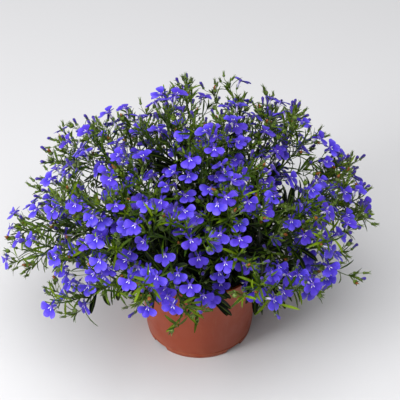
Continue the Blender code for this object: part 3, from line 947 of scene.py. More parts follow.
        def try_leaf(root: Vec, along: Vec) -> Optional[Leaf]:
            """A leaf that is clear of the blooms.

            Args:
                root: where it leaves the stem.
                along: the stem's direction there.

            Returns:
                The leaf, or None if it found no room.
            """
            way, upper = aim(root, along)
            tip = root + way * self.rng.uniform(*kind.length)
            if not self.takes_leaf(owner, root, tip, kind.bare, kind.berth):
                return None
            width, youth_and_light = self.rng.uniform(*kind.width), self.rng.uniform(*kind.youth_and_light)
            return Leaf(root, tip, across(way, upper), width, True, youth_and_light)

        for k in range(kind.count):
            step = k + self.rng.uniform(0.1, 0.9) if kind.scattered else k
            place = shoot.at(kind.places[0] + kind.places[1] * step / kind.count)
            self.plan.sprays[owner].leaves += first_fit(lambda: try_leaf(*place), kind.tries)

    def rim_way(self, root: Vec, along: Vec) -> tuple[Vec, Vec]:
        """The aim of a leaf that hangs out over the rim.

        Args:
            root: where it leaves the stem.
            along: the stem's direction there; not used.

        Returns:
            Its direction, and its upper side's.
        """
        out = across(UP, root)
        sideways = self.rng.uniform(-1.5, 1.5) * np.cross(UP, out)
        return unit(out + sideways - self.rng.uniform(0.0, 1.1) * UP), UP + 0.4 * out

    def inner_way(self, root: Vec, along: Vec) -> tuple[Vec, Vec]:
        """The aim of a leaf that stands out from its stem, as rim_way gives it."""
        out = across(along, self.rng.normal(size=3))
        return unit(out + along * self.rng.uniform(0.3, 0.9) + 0.1 * UP), along + 0.5 * UP

    def add_leaf(self, owner: int, leaf: Leaf) -> bool:
        """Adds a narrow leaf if it doesn't run through a bloom.

        Args:
            owner: the number of the spray.
            leaf: the leaf.

        Returns:
            Whether it was added.
        """
        fits = self.takes_leaf(owner, leaf.root, leaf.tip, self.leaf_bare, self.leaf_berth)
        if fits:
            self.plan.sprays[owner].leaves.append(leaf)
        return fits

    def grow_rosette(self, owner: int, shoot: Shoot) -> None:
        """The star of young leaves at a tip.

        Args:
            owner: the number of the spray.
            shoot: the stem.
        """
        rng = self.rng
        phase = rng.uniform(0, 2 * math.pi)
        youth_and_light = self.rosette_youth if owner < self.plan.dome_sprays else self.skirt_youth_in_shade
        for k in range(self.rosette_leaves):
            part = k / (self.rosette_leaves - 1)
            root, along = shoot.at(0.90 + 0.10 * part)
            outward = turned_off(along, across(along, UP + 0.01), phase + k * GOLDEN)
            spread = math.radians(68 - 42 * part + rng.uniform(-8, 8))
            way = unit(along * math.cos(spread) + outward * math.sin(spread))
            tip = root + way * ((0.014 - 0.008 * part) * rng.uniform(0.8, 1.25))
            width = 0.0019 - 0.0005 * part
            self.add_leaf(owner, Leaf(root, tip, across(way, along), width, False, youth_and_light + 0.35 * part))

    def grow_leaves(self, owner: int, shoot: Shoot) -> None:
        """The leaves along a stem, in a spiral.

        Args:
            owner: the number of the spray.
            shoot: the stem.
        """
        rng = self.rng
        length = np.linalg.norm(np.diff(shoot.line, axis=0), axis=1).sum()
        count = int(length * 0.78 / self.leaf_step)
        turn = rng.uniform(0, 2 * math.pi)
        for k in range(count):
            root, along = shoot.at(0.14 + 0.80 * (k + rng.uniform(0.2, 0.8)) / count)
            side = across(along, np.array([0.3, 0.2, 1.0]))
            far = np.linalg.norm(root - self.plan.crown) / self.plan.dome_radius
            for _ in range(self.leaf_tries):
                turn += GOLDEN + rng.uniform(-0.3, 0.3)
                way = unit(turned_off(along, side, turn) + along * rng.uniform(0.25, 0.8) + 0.12 * UP)
                tip = root + way * rng.uniform(*self.leaf_length)
                # Leaves nearer the crown are darker: partly older leaves, partly painted shade deep inside
                # the plant; outer ones are brighter, as young and lit.
                youth_and_light = float(np.clip(0.85 * smooth(far, 0.42, 1.05) + rng.uniform(-0.16, 0.16), 0, 1))
                upper, width = across(way, along + 0.5 * UP), rng.uniform(*self.leaf_width)
                if self.add_leaf(owner, Leaf(root, tip, upper, width, False, youth_and_light)):
                    break

    def grow_buds(self, owner: int, shoot: Shoot) -> None:
        """Buds round a tip, and a pod further down.

        Args:
            owner: the number of the spray.
            shoot: the stem.
        """
        rng = self.rng
        for k in range(self.buds_per_tip + 1):
            if k < self.buds_per_tip:
                stage = Stage.COLOURED if rng.random() < self.coloured_share else Stage.GREEN
                share = rng.uniform(0.88, 1.0)
            else:
                stage = Stage.WITHERED if rng.random() < self.withered_share else Stage.POD
                share = rng.uniform(0.55, 0.9)
            found = first_fit(lambda: self.try_bud(owner, shoot, share, stage), self.bud_tries)
            self.plan.sprays[owner].buds += found

    def try_bud(self, owner: int, shoot: Shoot, share: float, stage: Stage) -> Optional[Bud]:
        """A bud or pod that is clear of the blooms.

        Args:
            owner: the number of the spray.
            shoot: the stem that it grows from.
            share: the place along it.
            stage: what it is.

        Returns:
            The bud, or None if it found no room.
        """
        rng = self.rng
        seat, along = shoot.at(share)
        reach = unit(along * 0.8 + across(along, rng.normal(size=3)) * rng.uniform(0.4, 1.0) + 0.3 * UP)
        base = seat + reach * rng.uniform(*self.bud_stalk)
        facing = unit(reach + 0.5 * along + 0.3 * UP + 0.3 * rng.normal(size=3))
        length = rng.uniform(*(self.coloured_length if stage is Stage.COLOURED else self.bud_length))
        balls = balls_on(base, base + facing * length, self.bud_ball_step)
        return Bud(seat, base, facing, length, stage) if self.takes(owner, balls, self.bud_berth) else None


@dataclass
class Form:
    """Points and faces of one small form, with its finish and the values that its shading reads."""

    points: Vec
    faces: Faces
    finish: int
    along: Vec
    across: Vec

    def placed(self, origin: Vec, basis: np.ndarray, size: float) -> "Form":
        """The form at a size, its origin and its three directions set in their place on the plant."""
        return Form(origin + size * self.points @ basis, self.faces, self.finish, self.along, self.across)


def plain_form(points: Vec, faces: Faces) -> Form:
    """A form whose shading reads no values."""
    return Form(points, faces, 0, np.zeros(len(points)), np.zeros(len(points)))


def ring_faces(rings: int, count: int) -> tuple[np.ndarray, np.ndarray]:
    """The numbering of points on rings, and the four-sided faces between the rings.

    Args:
        rings: how many rings there are.
        count: points on a ring.

    Returns:
        The points' numbers, one row a ring, and the faces, one row each.
    """
    index = np.arange(rings * count).reshape(rings, count)
    after = np.roll(index, -1, axis=1)
    return index, np.stack([index[:-1], after[:-1], after[1:], index[1:]], axis=-1).reshape(-1, 4)


def swept(line: Vec, sides: Vec, ups: Vec, section: Vec) -> tuple[Vec, Faces]:
    """A closed form whose rings of points follow a line.

    Args:
        line: the middles of the rings, one row each.
        sides: the sideways direction of each ring.
        ups: the upward direction of each ring.
        section: for each ring, each point's steps sideways and upwards.

    Returns:
        The points, and the faces as arrays of four-sided ones and of the two end caps.
    """
    points = line[:, None] + section[..., :1] * sides[:, None] + section[..., 1:] * ups[:, None]
    index, quads = ring_faces(*section.shape[:2])
    return points.reshape(-1, 3), [quads, np.stack([index[0][::-1], index[-1]])]


def tube_form(line: Vec, radii: Vec, count: int, finish: int, first: Vec = RIGHT, ridge: float = 0.0) -> Form:
    """A round form along a line, its rings carried along without twisting.

    Args:
        line: its middle line.
        radii: its radius at each point.
        count: points on a ring.
        finish: the number of its finish.
        first: the wish for the first sideways direction.
        ridge: how far every other point stands out, as a share of the radius.

    Returns:
        The form, with its shading's along from 0 to 1.
    """
    ways = np.gradient(line, axis=0)
    ways /= np.linalg.norm(ways, axis=1)[:, None]
    sides = [first]
    for way in ways:
        sides.append(across(way, sides[-1]))
    angles = np.arange(count) * 2 * math.pi / count
    swell = 1 + ridge * np.where(np.arange(count) % 2, 1, -1)
    ring = np.stack([np.cos(angles) * swell, np.sin(angles) * swell], axis=1)
    section = np.asarray(radii)[:, None, None] * ring
    points, faces = swept(line, np.array(sides[1:]), np.cross(ways, sides[1:]), section)
    along = np.repeat(np.linspace(0, 1, len(line)), count)
    return Form(points, faces, finish, along, np.tile(np.arange(count) / count, len(line)))


def linked(name: str, data: bpy.types.ID) -> bpy.types.Object:
    """A new object in the scene.

    Args:
        name: its name.
        data: its mesh, light or camera.

    Returns:
        The object.
    """
    made = bpy.data.objects.new(name, data)
    bpy.context.scene.collection.objects.link(made)
    return made


def mesh_of(shape: bmesh.types.BMesh, name: str) -> bpy.types.Mesh:
    """A mesh of a shape, which is freed.

    Args:
        shape: the shape.
        name: the mesh's name.

    Returns:
        The mesh.
    """
    mesh = bpy.data.meshes.new(name)
    shape.to_mesh(mesh)
    shape.free()
    return mesh


class Skin:
    """Small forms gathered into the mesh of one piece."""

    def __init__(self) -> None:
        """Starts empty."""
        self.points: list[Vec] = []
        self.faces: list[tuple[np.ndarray, int]] = []
        self.marks: dict[str, list[Vec]] = {name: [] for name in MARKS}
        self.count = 0

    def add(self, form: Form, tone: float) -> None:
        """Takes in one form.

        Args:
            form: the form, in the object's own frame.
            tone: a value for its shading that is the same all over it.
        """
        self.points.append(form.points)
        self.faces += [(group + self.count, form.finish) for group in form.faces]
        self.marks["tone"].append(np.full(len(form.points), tone))
        self.marks["along"].append(form.along)
        self.marks["across"].append(form.across)
        self.count += len(form.points)

    def made(self, name: str, finishes: list[Material], sharp: float) -> bpy.types.Object:
        """The piece as an object in the scene.

        Args:
            name: its name.
            finishes: its materials, in the order that the forms number them.
            sharp: the angle in degrees past which an edge is shaded sharp.

        Returns:
            The new object.
        """
        mesh = bpy.data.meshes.new(name)
        mesh.vertices.add(self.count)
        mesh.vertices.foreach_set("co", np.vstack(self.points).ravel())
        corners = np.concatenate([group.ravel() for group, _ in self.faces])
        totals = np.concatenate([np.full(len(group), group.shape[1]) for group, _ in self.faces])
        finish = np.concatenate([np.full(len(group), number) for group, number in self.faces])
        mesh.loops.add(len(corners))
        mesh.loops.foreach_set("vertex_index", corners.astype(np.int32))
        mesh.polygons.add(len(totals))
        mesh.polygons.foreach_set("loop_start", (np.cumsum(totals) - totals).astype(np.int32))
        for material in finishes:
            mesh.materials.append(material)
        mesh.polygons.foreach_set("material_index", finish.astype(np.int32))
        mesh.update(calc_edges=True)
        for mark in MARKS:
            values = mesh.attributes.new(mark, "FLOAT", "POINT")
            values.data.foreach_set("value", np.concatenate(self.marks[mark]).astype(np.float32))
        mesh.shade_smooth()
        mesh.set_sharp_from_angle(angle=math.radians(sharp))
        return linked(name, mesh)


STEM_FINISH, LEAF_FINISH, CALYX_FINISH = 0, 1, 2
PETAL_FINISH, TUBE_FINISH, ANTHER_FINISH, WITHERED_FINISH = 0, 1, 2, 3
SEPALS = 5

# Cross-sections of a leaf: each point's way out, its share of the leaf's lift, and of its thickness.
KEELED = (
    (1.0, 0.30, 0.0),
    (0.5, 0.10, 0.9),
    (0.0, -0.02, 0.5),
    (-0.5, 0.10, 0.9),
    (-1.0, 0.30, 0.0),
    (0.0, -0.10, -1.4),
)
SLIM = ((1.0, 0.26, 0.0), (0.0, 0.0, 0.8), (-1.0, 0.26, 0.0), (0.0, -0.08, -1.2))


class LeafOutline(Enum):
    """The outlines that a leaf may have."""

    NARROW = "narrow stem leaf"
    SPOON = "broad basal leaf"
    SEPAL = "sepal"

    def half(self, share: Vec) -> Vec:
        """Half the width at shares of the length, as a share of the greatest.

        Args:
            share: 0 at the root, 1 at the tip.

        Returns:
            The shares of the greatest half width.
        """
        if self is LeafOutline.SEPAL:
            return np.maximum(1 - share**1.6, 0.08)
        if self is LeafOutline.SPOON:
            base, body, blunt, (start, span), power = 0.22, (0.05, 0.62), 0.06, (0.62, 0.39), 2
        else:
            base, body, blunt, (start, span), power = 0.36, (0.0, 0.5), 0.08, (0.55, 0.46), 1.8
        end = np.sqrt(np.clip(1 - ((share - start) / span).clip(0) ** power, 0, 1))
        return (base + (1 - base) * smooth(share, *body)) * np.maximum(end, blunt)


@dataclass(frozen=True)
class LeafForm:
    """A leaf as a thin keeled blade along an arched line; section is its cross-section's ring of points."""

    rows: int
    outline: LeafOutline
    finish: int
    section: tuple = KEELED
    thickness: float = 0.055

    def form(self, root: Vec, tip: Vec, upper: Vec, bow: float, width: float) -> Form:
        """The leaf between two points.

        Args:
            root: where it grows from.
            tip: where it ends.
            upper: the direction of its upper side.
            bow: how far it arches up between them, as a share of its length.
            width: its greatest width.

        Returns:
            The form.
        """
        reach = tip - root
        length = np.linalg.norm(reach)
        way = reach / length
        upper = across(way, upper)
        share = 1 - (1 - np.linspace(0, 1, self.rows)) ** 1.25
        line = root + share[:, None] * reach + (4 * bow * length * share * (1 - share))[:, None] * upper
        sides = np.tile(np.cross(way, upper), (self.rows, 1))
        ups = upper - (4 * bow * (1 - 2 * share))[:, None] * way
        ups /= np.linalg.norm(ups, axis=1)[:, None]
        half = 0.5 * width * self.outline.half(share)
        thick = self.thickness * width
        ring = [(half * out, half * lift + thick * edge) for out, lift, edge in self.section]
        points, faces = swept(line, sides, ups, np.array(ring).transpose(2, 0, 1))
        beside = np.tile([out for out, _, _ in self.section], self.rows)
        return Form(points, faces, self.finish, np.repeat(share, len(self.section)), beside)


@dataclass
class Lobe:
    """One lobe of a bloom, in shares of the bloom's radius; the turn is from straight down."""

    turn: float
    reach: float
    half_width: float
    rows: int
    columns: int
    start: float = 0.07
    half_thick: float = 0.016

    def outline(self, share: Vec) -> Vec:
        """Half the lobe's width: narrow at the base, broad and blunt at the end.

        Args:
            share: shares of the lobe's length.

        Returns:
            Half its width there.
        """
        body = 0.36 + 0.64 * smooth(share, 0.0, 0.68)
        end = np.sqrt(np.clip(1 - ((share - 0.66) / 0.35).clip(0) ** 2.4, 0, 1))
        return self.half_width * body * np.maximum(end, 0.10)

    def form(self, rng: np.random.Generator, flare: float) -> Form:
        """The lobe as a thin closed blade, with its own waves.

        Args:
            rng: the random draw for its waves.
            flare: how far it lifts towards the front at its end.

        Returns:
            The form in the bloom's own frame: sideways, up, forwards.
        """
        share = 1 - (1 - np.linspace(0, 1, self.rows)) ** 1.35
        turn = math.radians(self.turn)
        way = np.array([math.sin(turn), -math.cos(turn), 0.0])
        side = np.array([math.cos(turn), math.sin(turn), 0.0])
        swing = rng.uniform(-0.06, 0.06)
        reach = self.start + (self.reach * rng.uniform(0.94, 1.04) - self.start) * share
        line = reach[:, None] * way + (swing * share**2)[:, None] * side
        line[:, 2] = -0.10 * (1 - share) ** 2 + flare * share - rng.uniform(0.02, 0.16) * share**2.5
        cup, twist = rng.uniform(-0.42, 0.26), rng.uniform(-0.22, 0.22)
        phase, wave = rng.uniform(0, 6.3), rng.uniform(0.010, 0.030)
        v = np.linspace(-1, 1, self.columns)
        half = self.outline(share)[:, None]
        ripple = wave * np.abs(v) ** 1.5 * np.sin(phase + 7 * share[:, None] + 2 * v)
        lift = half * (cup * v**2 + twist * v) + ripple
        top = np.stack([half * v, lift + self.half_thick], axis=-1)
        under = np.stack([half * v * 0.97, lift - self.half_thick], axis=-1)[:, ::-1]
        section = np.concatenate([top, under], axis=1)
        points, faces = swept(line, np.tile(side, (self.rows, 1)), np.tile(UP, (self.rows, 1)), section)
        return Form(points, faces, PETAL_FINISH, points[:, 1].copy(), points[:, 0].copy())


@dataclass
class BloomForm:
    """The shape of a lobelia flower, in shares of its radius."""

    variants: int = 12
    seed: int = 5
    tube_length: float = 0.82
    throat_radius: float = 0.125
    tube_radius: float = 0.082
    cup_length: float = 0.20
    sepal_length: float = 0.34
    sepal_width: float = 0.0008 / 0.0104
    stalk_radius: float = 0.00034
    cup_radii: tuple[float, ...] = (0.045, 0.085, 0.108, 0.100)
    anther_radii: tuple[float, ...] = (0.034, 0.036, 0.040, 0.052, 0.050, 0.022)
    lip: tuple[Lobe, ...] = (
        Lobe(0, 1.00, 0.345, 8, 5),
        Lobe(60, 1.00, 0.355, 8, 5),
        Lobe(-60, 1.00, 0.355, 8, 5),
    )
    crest: tuple[Lobe, ...] = (
        Lobe(152, 0.62, 0.110, 5, 3, 0.04),
        Lobe(-152, 0.62, 0.110, 5, 3, 0.04),
    )
    sepal: LeafForm = LeafForm(4, LeafOutline.SEPAL, CALYX_FINISH, SLIM)

    def __post_init__(self) -> None:
        """Draws the variants once."""
        rng = np.random.default_rng(self.seed)
        self.drawn = [self.draw(rng) for _ in range(self.variants)]

    def draw(self, rng: np.random.Generator) -> list[Form]:
        """The petals, tube and anthers of one flower, in its own frame.

        Args:
            rng: the random draw for its shape.

        Returns:
            The forms: sideways, up and forwards in shares of the bloom's radius.
        """
        openness = rng.uniform(0.02, 0.16)
        forms = [lobe.form(rng, openness * (1.0 if lobe.turn else 0.4)) for lobe in self.lip]
        forms += [lobe.form(rng, rng.uniform(-0.25, 0.10)) for lobe in self.crest]
        steps = np.linspace(0, 1, 7)
        line = np.stack([0 * steps, 0.03 * np.sin(math.pi * steps), -self.tube_length * (1 - steps)], axis=1)
        radii = self.tube_radius + (self.throat_radius - self.tube_radius) * smooth(steps, 0.55, 1.0)
        forms.append(tube_form(line, radii, 9, TUBE_FINISH))
        steps = np.linspace(0, 1, len(self.anther_radii))
        line = np.stack([0 * steps, 0.02 + 0.15 * steps, -0.16 + 0.34 * steps - 0.06 * steps**2], axis=1)
        return forms + [tube_form(line, np.array(self.anther_radii), 6, ANTHER_FINISH)]

    def calyx(self, rng: np.random.Generator) -> list[Form]:
        """The green cup behind the tube with its five sepals, in the bloom's own frame.

        Args:
            rng: the random draw for its shape.

        Returns:
            The forms.
        """
        base = -self.tube_length
        steps = np.linspace(0, 1, len(self.cup_radii))
        line = np.stack([0 * steps, 0 * steps, base - 0.14 + self.cup_length * steps], axis=1)
        forms = [tube_form(line, np.array(self.cup_radii), 7, CALYX_FINISH)]
        for k in range(SEPALS):
            turn = 2 * math.pi * (k + rng.uniform(-0.1, 0.1)) / SEPALS
            out = np.array([math.cos(turn), math.sin(turn), 0.0])
            root = 0.090 * out + (base + 0.02) * UP
            tip = root + self.sepal_length * unit(out * rng.uniform(0.35, 0.75) + UP)
            forms.append(self.sepal.form(root, tip, -out, 0.10, self.sepal_width))
        return forms


@dataclass
class SprayForms:
    """Builds the two pieces of each spray: its greens, and its blooms.

    The cup of a bud or a pod has a length, a swell, and a spread of its sepals.
    """

    plan: GrowthPlan
    bloom_form: BloomForm = field(default_factory=BloomForm)
    seed: int = 41
    leader_points: int = 22
    shoot_points: int = 14
    twig_points: int = 7
    slim: float = 0.72
    taper: float = 0.75
    ridge: float = 0.07
    small_leaf: float = 0.0020
    broad_blade: LeafForm = LeafForm(8, LeafOutline.SPOON, LEAF_FINISH)
    stem_blade: LeafForm = LeafForm(5, LeafOutline.NARROW, LEAF_FINISH)
    small_blade: LeafForm = LeafForm(4, LeafOutline.NARROW, LEAF_FINISH, SLIM)
    bud_sepal: LeafForm = LeafForm(3, LeafOutline.SEPAL, CALYX_FINISH, SLIM)
    bud_sepal_width: float = 0.0014
    bud_cup: tuple[float, float, float] = (0.0020, 0.0013, 0.15)
    pod_cup: tuple[float, float, float] = (0.0042, 0.0021, 0.50)
    bud_first: Vec = field(default_factory=lambda: np.array([1.0, 0.1, 0.0]))

    def __post_init__(self) -> None:
        """Sets the random draw."""
        self.rng = np.random.default_rng(self.seed)

    def greens(self, spray: Spray) -> Skin:
        """The stems, leaves, stalks, calyces and pods of a spray.

        Args:
            spray: what grows on it.

        Returns:
            The gathered forms.
        """
        rng, skin = self.rng, Skin()
        for number, shoot in enumerate(spray.shoots):
            # Leading stems get a lower tone and so more of the dark low colour: partly older stem, partly
            # painted shade inside the plant.
            skin.add(self.stem(shoot, number == 0, number > 1), 1.0 - 0.4 * (number == 0))
        for leaf in spray.leaves:
            blade = self.stem_blade if leaf.width > self.small_leaf else self.small_blade
            blade = self.broad_blade if leaf.broad else blade
            bow = rng.uniform(0.02, 0.12)
            skin.add(blade.form(leaf.root, leaf.tip, leaf.upper, bow, leaf.width), leaf.youth_and_light)
        for bloom in spray.blooms:
            tone = rng.uniform(0.2, 0.8)
            finish = bloom.calyx - 0.10 * bloom.size * bloom.facing
            skin.add(self.stalk(bloom.seat, finish, bloom.facing), tone)
            for form in self.bloom_form.calyx(rng):
                skin.add(form.placed(bloom.throat, bloom.basis(), bloom.size), tone)
        for bud in spray.buds:
            self.add_bud_greens(skin, bud)
        return skin

    def stem(self, shoot: Shoot, leading: bool, twig: bool) -> Form:
        """A stem with low ridges; a leading one goes on down into the soil.

        Args:
            shoot: the stem.
            leading: whether it stands in the soil.
            twig: whether it is one of the fine side branches.

        Returns:
            The form.
        """
        line = shoot.fine(self.leader_points if leading else self.twig_points if twig else self.shoot_points)
        if leading:
            line = np.vstack([line[0] - self.plan.pot.stem_sunk * UP, line])
        radii = np.linspace(shoot.radii[0], shoot.radii[1] * self.taper, len(line)) * self.slim
        return tube_form(line, radii, 6 if twig else 8, STEM_FINISH, ridge=self.ridge)

    def stalk(self, seat: Vec, finish: Vec, facing: Vec) -> Form:
        """A thin curved stalk from a stem to a calyx.

        Args:
            seat: where it leaves the stem.
            finish: where the calyx starts.
            facing: the way that the flower faces.

        Returns:
            The form.
        """
        reach = np.linalg.norm(finish - seat)
        rise = unit(finish - seat + 0.35 * reach * UP) * 0.4 * reach
        line = arch(seat, rise, finish, 0.35 * reach * facing, 6)
        radii = np.full(6, self.bloom_form.stalk_radius)
        radii[0] *= 1.5
        return tube_form(line, radii, 4, CALYX_FINISH, np.array([0.3, 0.9, 0.1]))

    def add_bud_greens(self, skin: Skin, bud: Bud) -> None:
        """Adds the stalk, the cup and the sepals of a bud or pod.

        Args:
            skin: the piece that takes them.
            bud: the bud.
        """
        tone = self.rng.uniform(0.3, 0.9)
        skin.add(self.stalk(bud.seat, bud.base, bud.facing), tone)
        full = bud.stage in (Stage.POD, Stage.WITHERED)
        length, swell, spread = self.pod_cup if full else self.bud_cup
        steps = np.linspace(0, 1, 5)
        line = bud.base + (steps * length)[:, None] * bud.facing
        radii = swell * np.sin(math.pi * (0.10 + 0.62 * steps)) + 0.0002
        skin.add(tube_form(line, radii, 6, CALYX_FINISH, self.bud_first), tone + 0.2 * full)
        side = across(bud.facing, np.array([0.2, 1.0, 0.1]))
        reach = bud.length * (0.9 if bud.stage is Stage.GREEN else 0.45) + 0.0008
        for k in range(SEPALS):
            out = turned_off(bud.facing, side, 2 * math.pi * k / SEPALS)
            root = line[-1] + 0.7 * swell * out
            tip = root + reach * unit(bud.facing + spread * out)
            skin.add(self.bud_sepal.form(root, tip, -out, 0.10, self.bud_sepal_width), tone)

    def petals(self, spray: Spray) -> Skin:
        """The petals, tubes, anthers, coloured buds and withered flowers of a spray.

        Args:
            spray: what grows on it.

        Returns:
            The gathered forms.
        """
        rng, skin = self.rng, Skin()
        for bloom in spray.blooms:
            tone = rng.uniform(0, 1)
            for form in self.bloom_form.drawn[rng.integers(self.bloom_form.variants)]:
                skin.add(form.placed(bloom.throat, bloom.basis(), bloom.size), tone)
        steps = np.linspace(0, 1, 8)
        for bud in spray.buds:
            if bud.stage is Stage.COLOURED:
                line = bud.base + (0.0012 + steps * bud.length)[:, None] * bud.facing
                line += (0.0010 * np.sin(math.pi * steps))[:, None] * across(bud.facing, UP)
                radii = 0.00085 + 0.00065 * smooth(steps, 0.45, 0.8) - 0.0013 * smooth(steps, 0.86, 1.04)
                skin.add(tube_form(line, radii, 8, TUBE_FINISH, self.bud_first), -1.0)
            elif bud.stage is Stage.WITHERED:
                line = bud.base + (0.0035 + steps * 0.0045)[:, None] * bud.facing
                line += 0.0004 * rng.normal(size=line.shape)
                radii = 0.0009 * np.sin(math.pi * (0.15 + 0.8 * steps)) * rng.uniform(0.7, 1.3, 8) + 0.0002
                skin.add(tube_form(line, radii, 6, WITHERED_FINISH, self.bud_first), rng.uniform(0, 1))
        return skin


class Paint:
    """A material whose node tree is written in short calls."""

    def __init__(self, name: str, base: Value, roughness: float, specular: float, sheen: float = 0.0) -> None:
        """Starts a material with its plain settings.

        Args:
            name: its name.
            base: the colour that others are laid over.
            roughness: how dull it is.
            specular: how strongly it shines.
            sheen: how much soft edge light it shows.
        """
        self.base = base
        self.material = bpy.data.materials.new(name)
        self.material.use_nodes = True
        self.tree = self.material.node_tree
        self.shader = self.tree.nodes["Principled BSDF"]
        self.shader.inputs["Roughness"].default_value = roughness
        self.shader.inputs["Specular IOR Level"].default_value = specular
        self.shader.inputs["Sheen Weight"].default_value = sheen

    def feed(self, socket: Socket, value: Value) -> None:
        """Links a socket, or sets its number or colour.

        Args:
            socket: an input of a node.
            value: another node's output, or a number or colour.
        """
        if isinstance(value, Socket):
            self.tree.links.new(value, socket)
        else:
            socket.default_value = value

    def value(self, name: str) -> Socket:
        """A value that the mesh holds for each point.

        Args:
            name: the value's name, one of MARKS.

        Returns:
            The value's socket.
        """
        node = self.tree.nodes.new("ShaderNodeAttribute")
        node.attribute_name = name
        return node.outputs["Fac"]

    def place(self) -> Socket:
        """The point's place in the object."""
        return self.tree.nodes.new("ShaderNodeTexCoord").outputs["Object"]

    def math(self, operation: str, first: Value, second: Value = 0.0) -> Socket:
        """One step of arithmetic on numbers or sockets.

        Args:
            operation: the step's name in the shader.
            first: the first number.
            second: the second, where the step has one.

        Returns:
            The result's socket.
        """
        node = self.tree.nodes.new("ShaderNodeMath")
        node.operation = operation
        for socket, value in zip(node.inputs, (first, second)):
            self.feed(socket, value)
        return node.outputs[0]

    def squares(self, first: Value, second: Value) -> Socket:
        """The sum of two numbers' squares."""
        return self.math("ADD", self.math("MULTIPLY", first, first), self.math("MULTIPLY", second, second))

    def step(self, value: Value, low: float, high: float, *ends: float) -> Socket:
        """A soft step of a value.

        Args:
            value: the number that it follows.
            low: where it starts.
            high: where it is done.
            ends: what it gives at low and at high; left out, they are 0 and 1.

        Returns:
            The result's socket.
        """
        node = self.tree.nodes.new("ShaderNodeMapRange")
        node.interpolation_type = "SMOOTHSTEP"
        for socket, number in zip(node.inputs, (value, low, high, *(ends or (0.0, 1.0)))):
            self.feed(socket, number)
        return node.outputs[0]

    def mix(self, share: Value, first: Value, second: Value) -> Socket:
        """Two colours mixed by a share.

        Args:
            share: how much of the second colour shows.
            first: the first colour.
            second: the second colour.

        Returns:
            The mixed colour.
        """
        node = self.tree.nodes.new("ShaderNodeMix")
        node.data_type = "RGBA"
        for number, value in ((0, share), (6, first), (7, second)):
            self.feed(node.inputs[number], value)
        return node.outputs[2]

    def noise(self, scale: float, detail: float = 2.0, stretch: tuple = (1, 1, 1)) -> Socket:
        """Soft noise in the object's space.

        Args:
            scale: its fineness, per metre.
            detail: how many finer layers it has.
            stretch: how its scale differs along the three axes.

        Returns:
            A number of 0 to 1.
        """
        mapping = self.tree.nodes.new("ShaderNodeMapping")
        mapping.inputs["Scale"].default_value = stretch
        self.feed(mapping.inputs["Vector"], self.place())
        node = self.tree.nodes.new("ShaderNodeTexNoise")
        self.feed(node.inputs["Vector"], mapping.outputs[0])
        node.inputs["Scale"].default_value = scale
        node.inputs["Detail"].default_value = detail
        return node.outputs[0]

    def bump(self, height: Value, depth: float, strength: float) -> None:
        """Gives the surface a fine relief.

        Args:
            height: its height, as a share of its depth.
            depth: its depth in metres.
            strength: how strongly it is shaded.
        """
        node = self.tree.nodes.new("ShaderNodeBump")
        node.inputs["Strength"].default_value = strength
        node.inputs["Distance"].default_value = depth
        self.feed(node.inputs["Height"], height)
        self.feed(self.shader.inputs["Normal"], node.outputs[0])

    def lay(self, colour: Value, share: Value) -> None:
        """Lays a share of a colour over the others."""
        self.base = self.mix(share, self.base, colour)

    def done(self) -> Material:
        """Sets the base colour and hands the material over."""
        self.feed(self.shader.inputs["Base Color"], self.base)
        return self.material


@dataclass(frozen=True)
class PetalFinish:
    """Violet-blue petals with a white eye, a dark throat and fine veins.

    The eye is two slanted streaks. Their middle and half size, across and along the flower, are shares of its
    radius.
    """

    deep: tuple = srgb(50, 36, 166)
    body: tuple = srgb(92, 73, 236)
    rim: tuple = srgb(124, 108, 255)
    violet: tuple = srgb(80, 43, 176)
    crest: tuple = srgb(48, 30, 136)
    eye: tuple = srgb(232, 232, 228)
    throat: tuple = srgb(48, 18, 110)
    veins: float = 46.0
    streak_slant: float = 0.42
    streak_across: Pair = (0.020, 0.032)
    streak_along: Pair = (-0.185, 0.110)

    def material(self) -> Material:
        """Paints them; the shading values are the place on the flower in shares of its radius.

        Returns:
            The petals' material.
        """
        paint = Paint("petal", self.deep, 0.55, 0.22, 0.10)
        x, y, tone = paint.value("across"), paint.value("along"), paint.value("tone")
        reach = paint.math("SQRT", paint.squares(x, y))
        paint.lay(self.body, paint.step(reach, 0.15, 0.75))
        paint.lay(self.rim, paint.step(reach, 0.60, 1.0, 0.0, 0.85))
        paint.lay(self.violet, paint.math("MULTIPLY", tone, 0.60))
        veins = paint.math("SINE", paint.math("MULTIPLY", paint.math("ARCTAN2", x, y), self.veins))
        veins = paint.math("MULTIPLY", paint.step(veins, 0.3, 1.0), paint.step(reach, 0.15, 0.4, 0.0, 0.40))
        paint.lay(self.deep, veins)
        paint.lay(self.crest, paint.step(y, 0.04, 0.28))
        paint.lay(self.deep, paint.step(paint.noise(330, 4), 0.40, 0.70, 0.0, 0.45))
        slant = paint.math("ADD", paint.math("ABSOLUTE", x), paint.math("MULTIPLY", y, self.streak_slant))
        places = []
        for value, middle, half_size in ((slant, *self.streak_across), (y, *self.streak_along)):
            places.append(paint.math("DIVIDE", paint.math("SUBTRACT", value, middle), half_size))
        paint.lay(self.eye, paint.step(paint.squares(*places), 0.7, 1.25, 1.0, 0.0))
        paint.lay(self.throat, paint.step(reach, 0.05, 0.12, 1.0, 0.0))
        paint.bump(paint.math("ADD", paint.noise(900), paint.math("MULTIPLY", veins, 2.0)), 0.0002, 0.35)
        return paint.done()


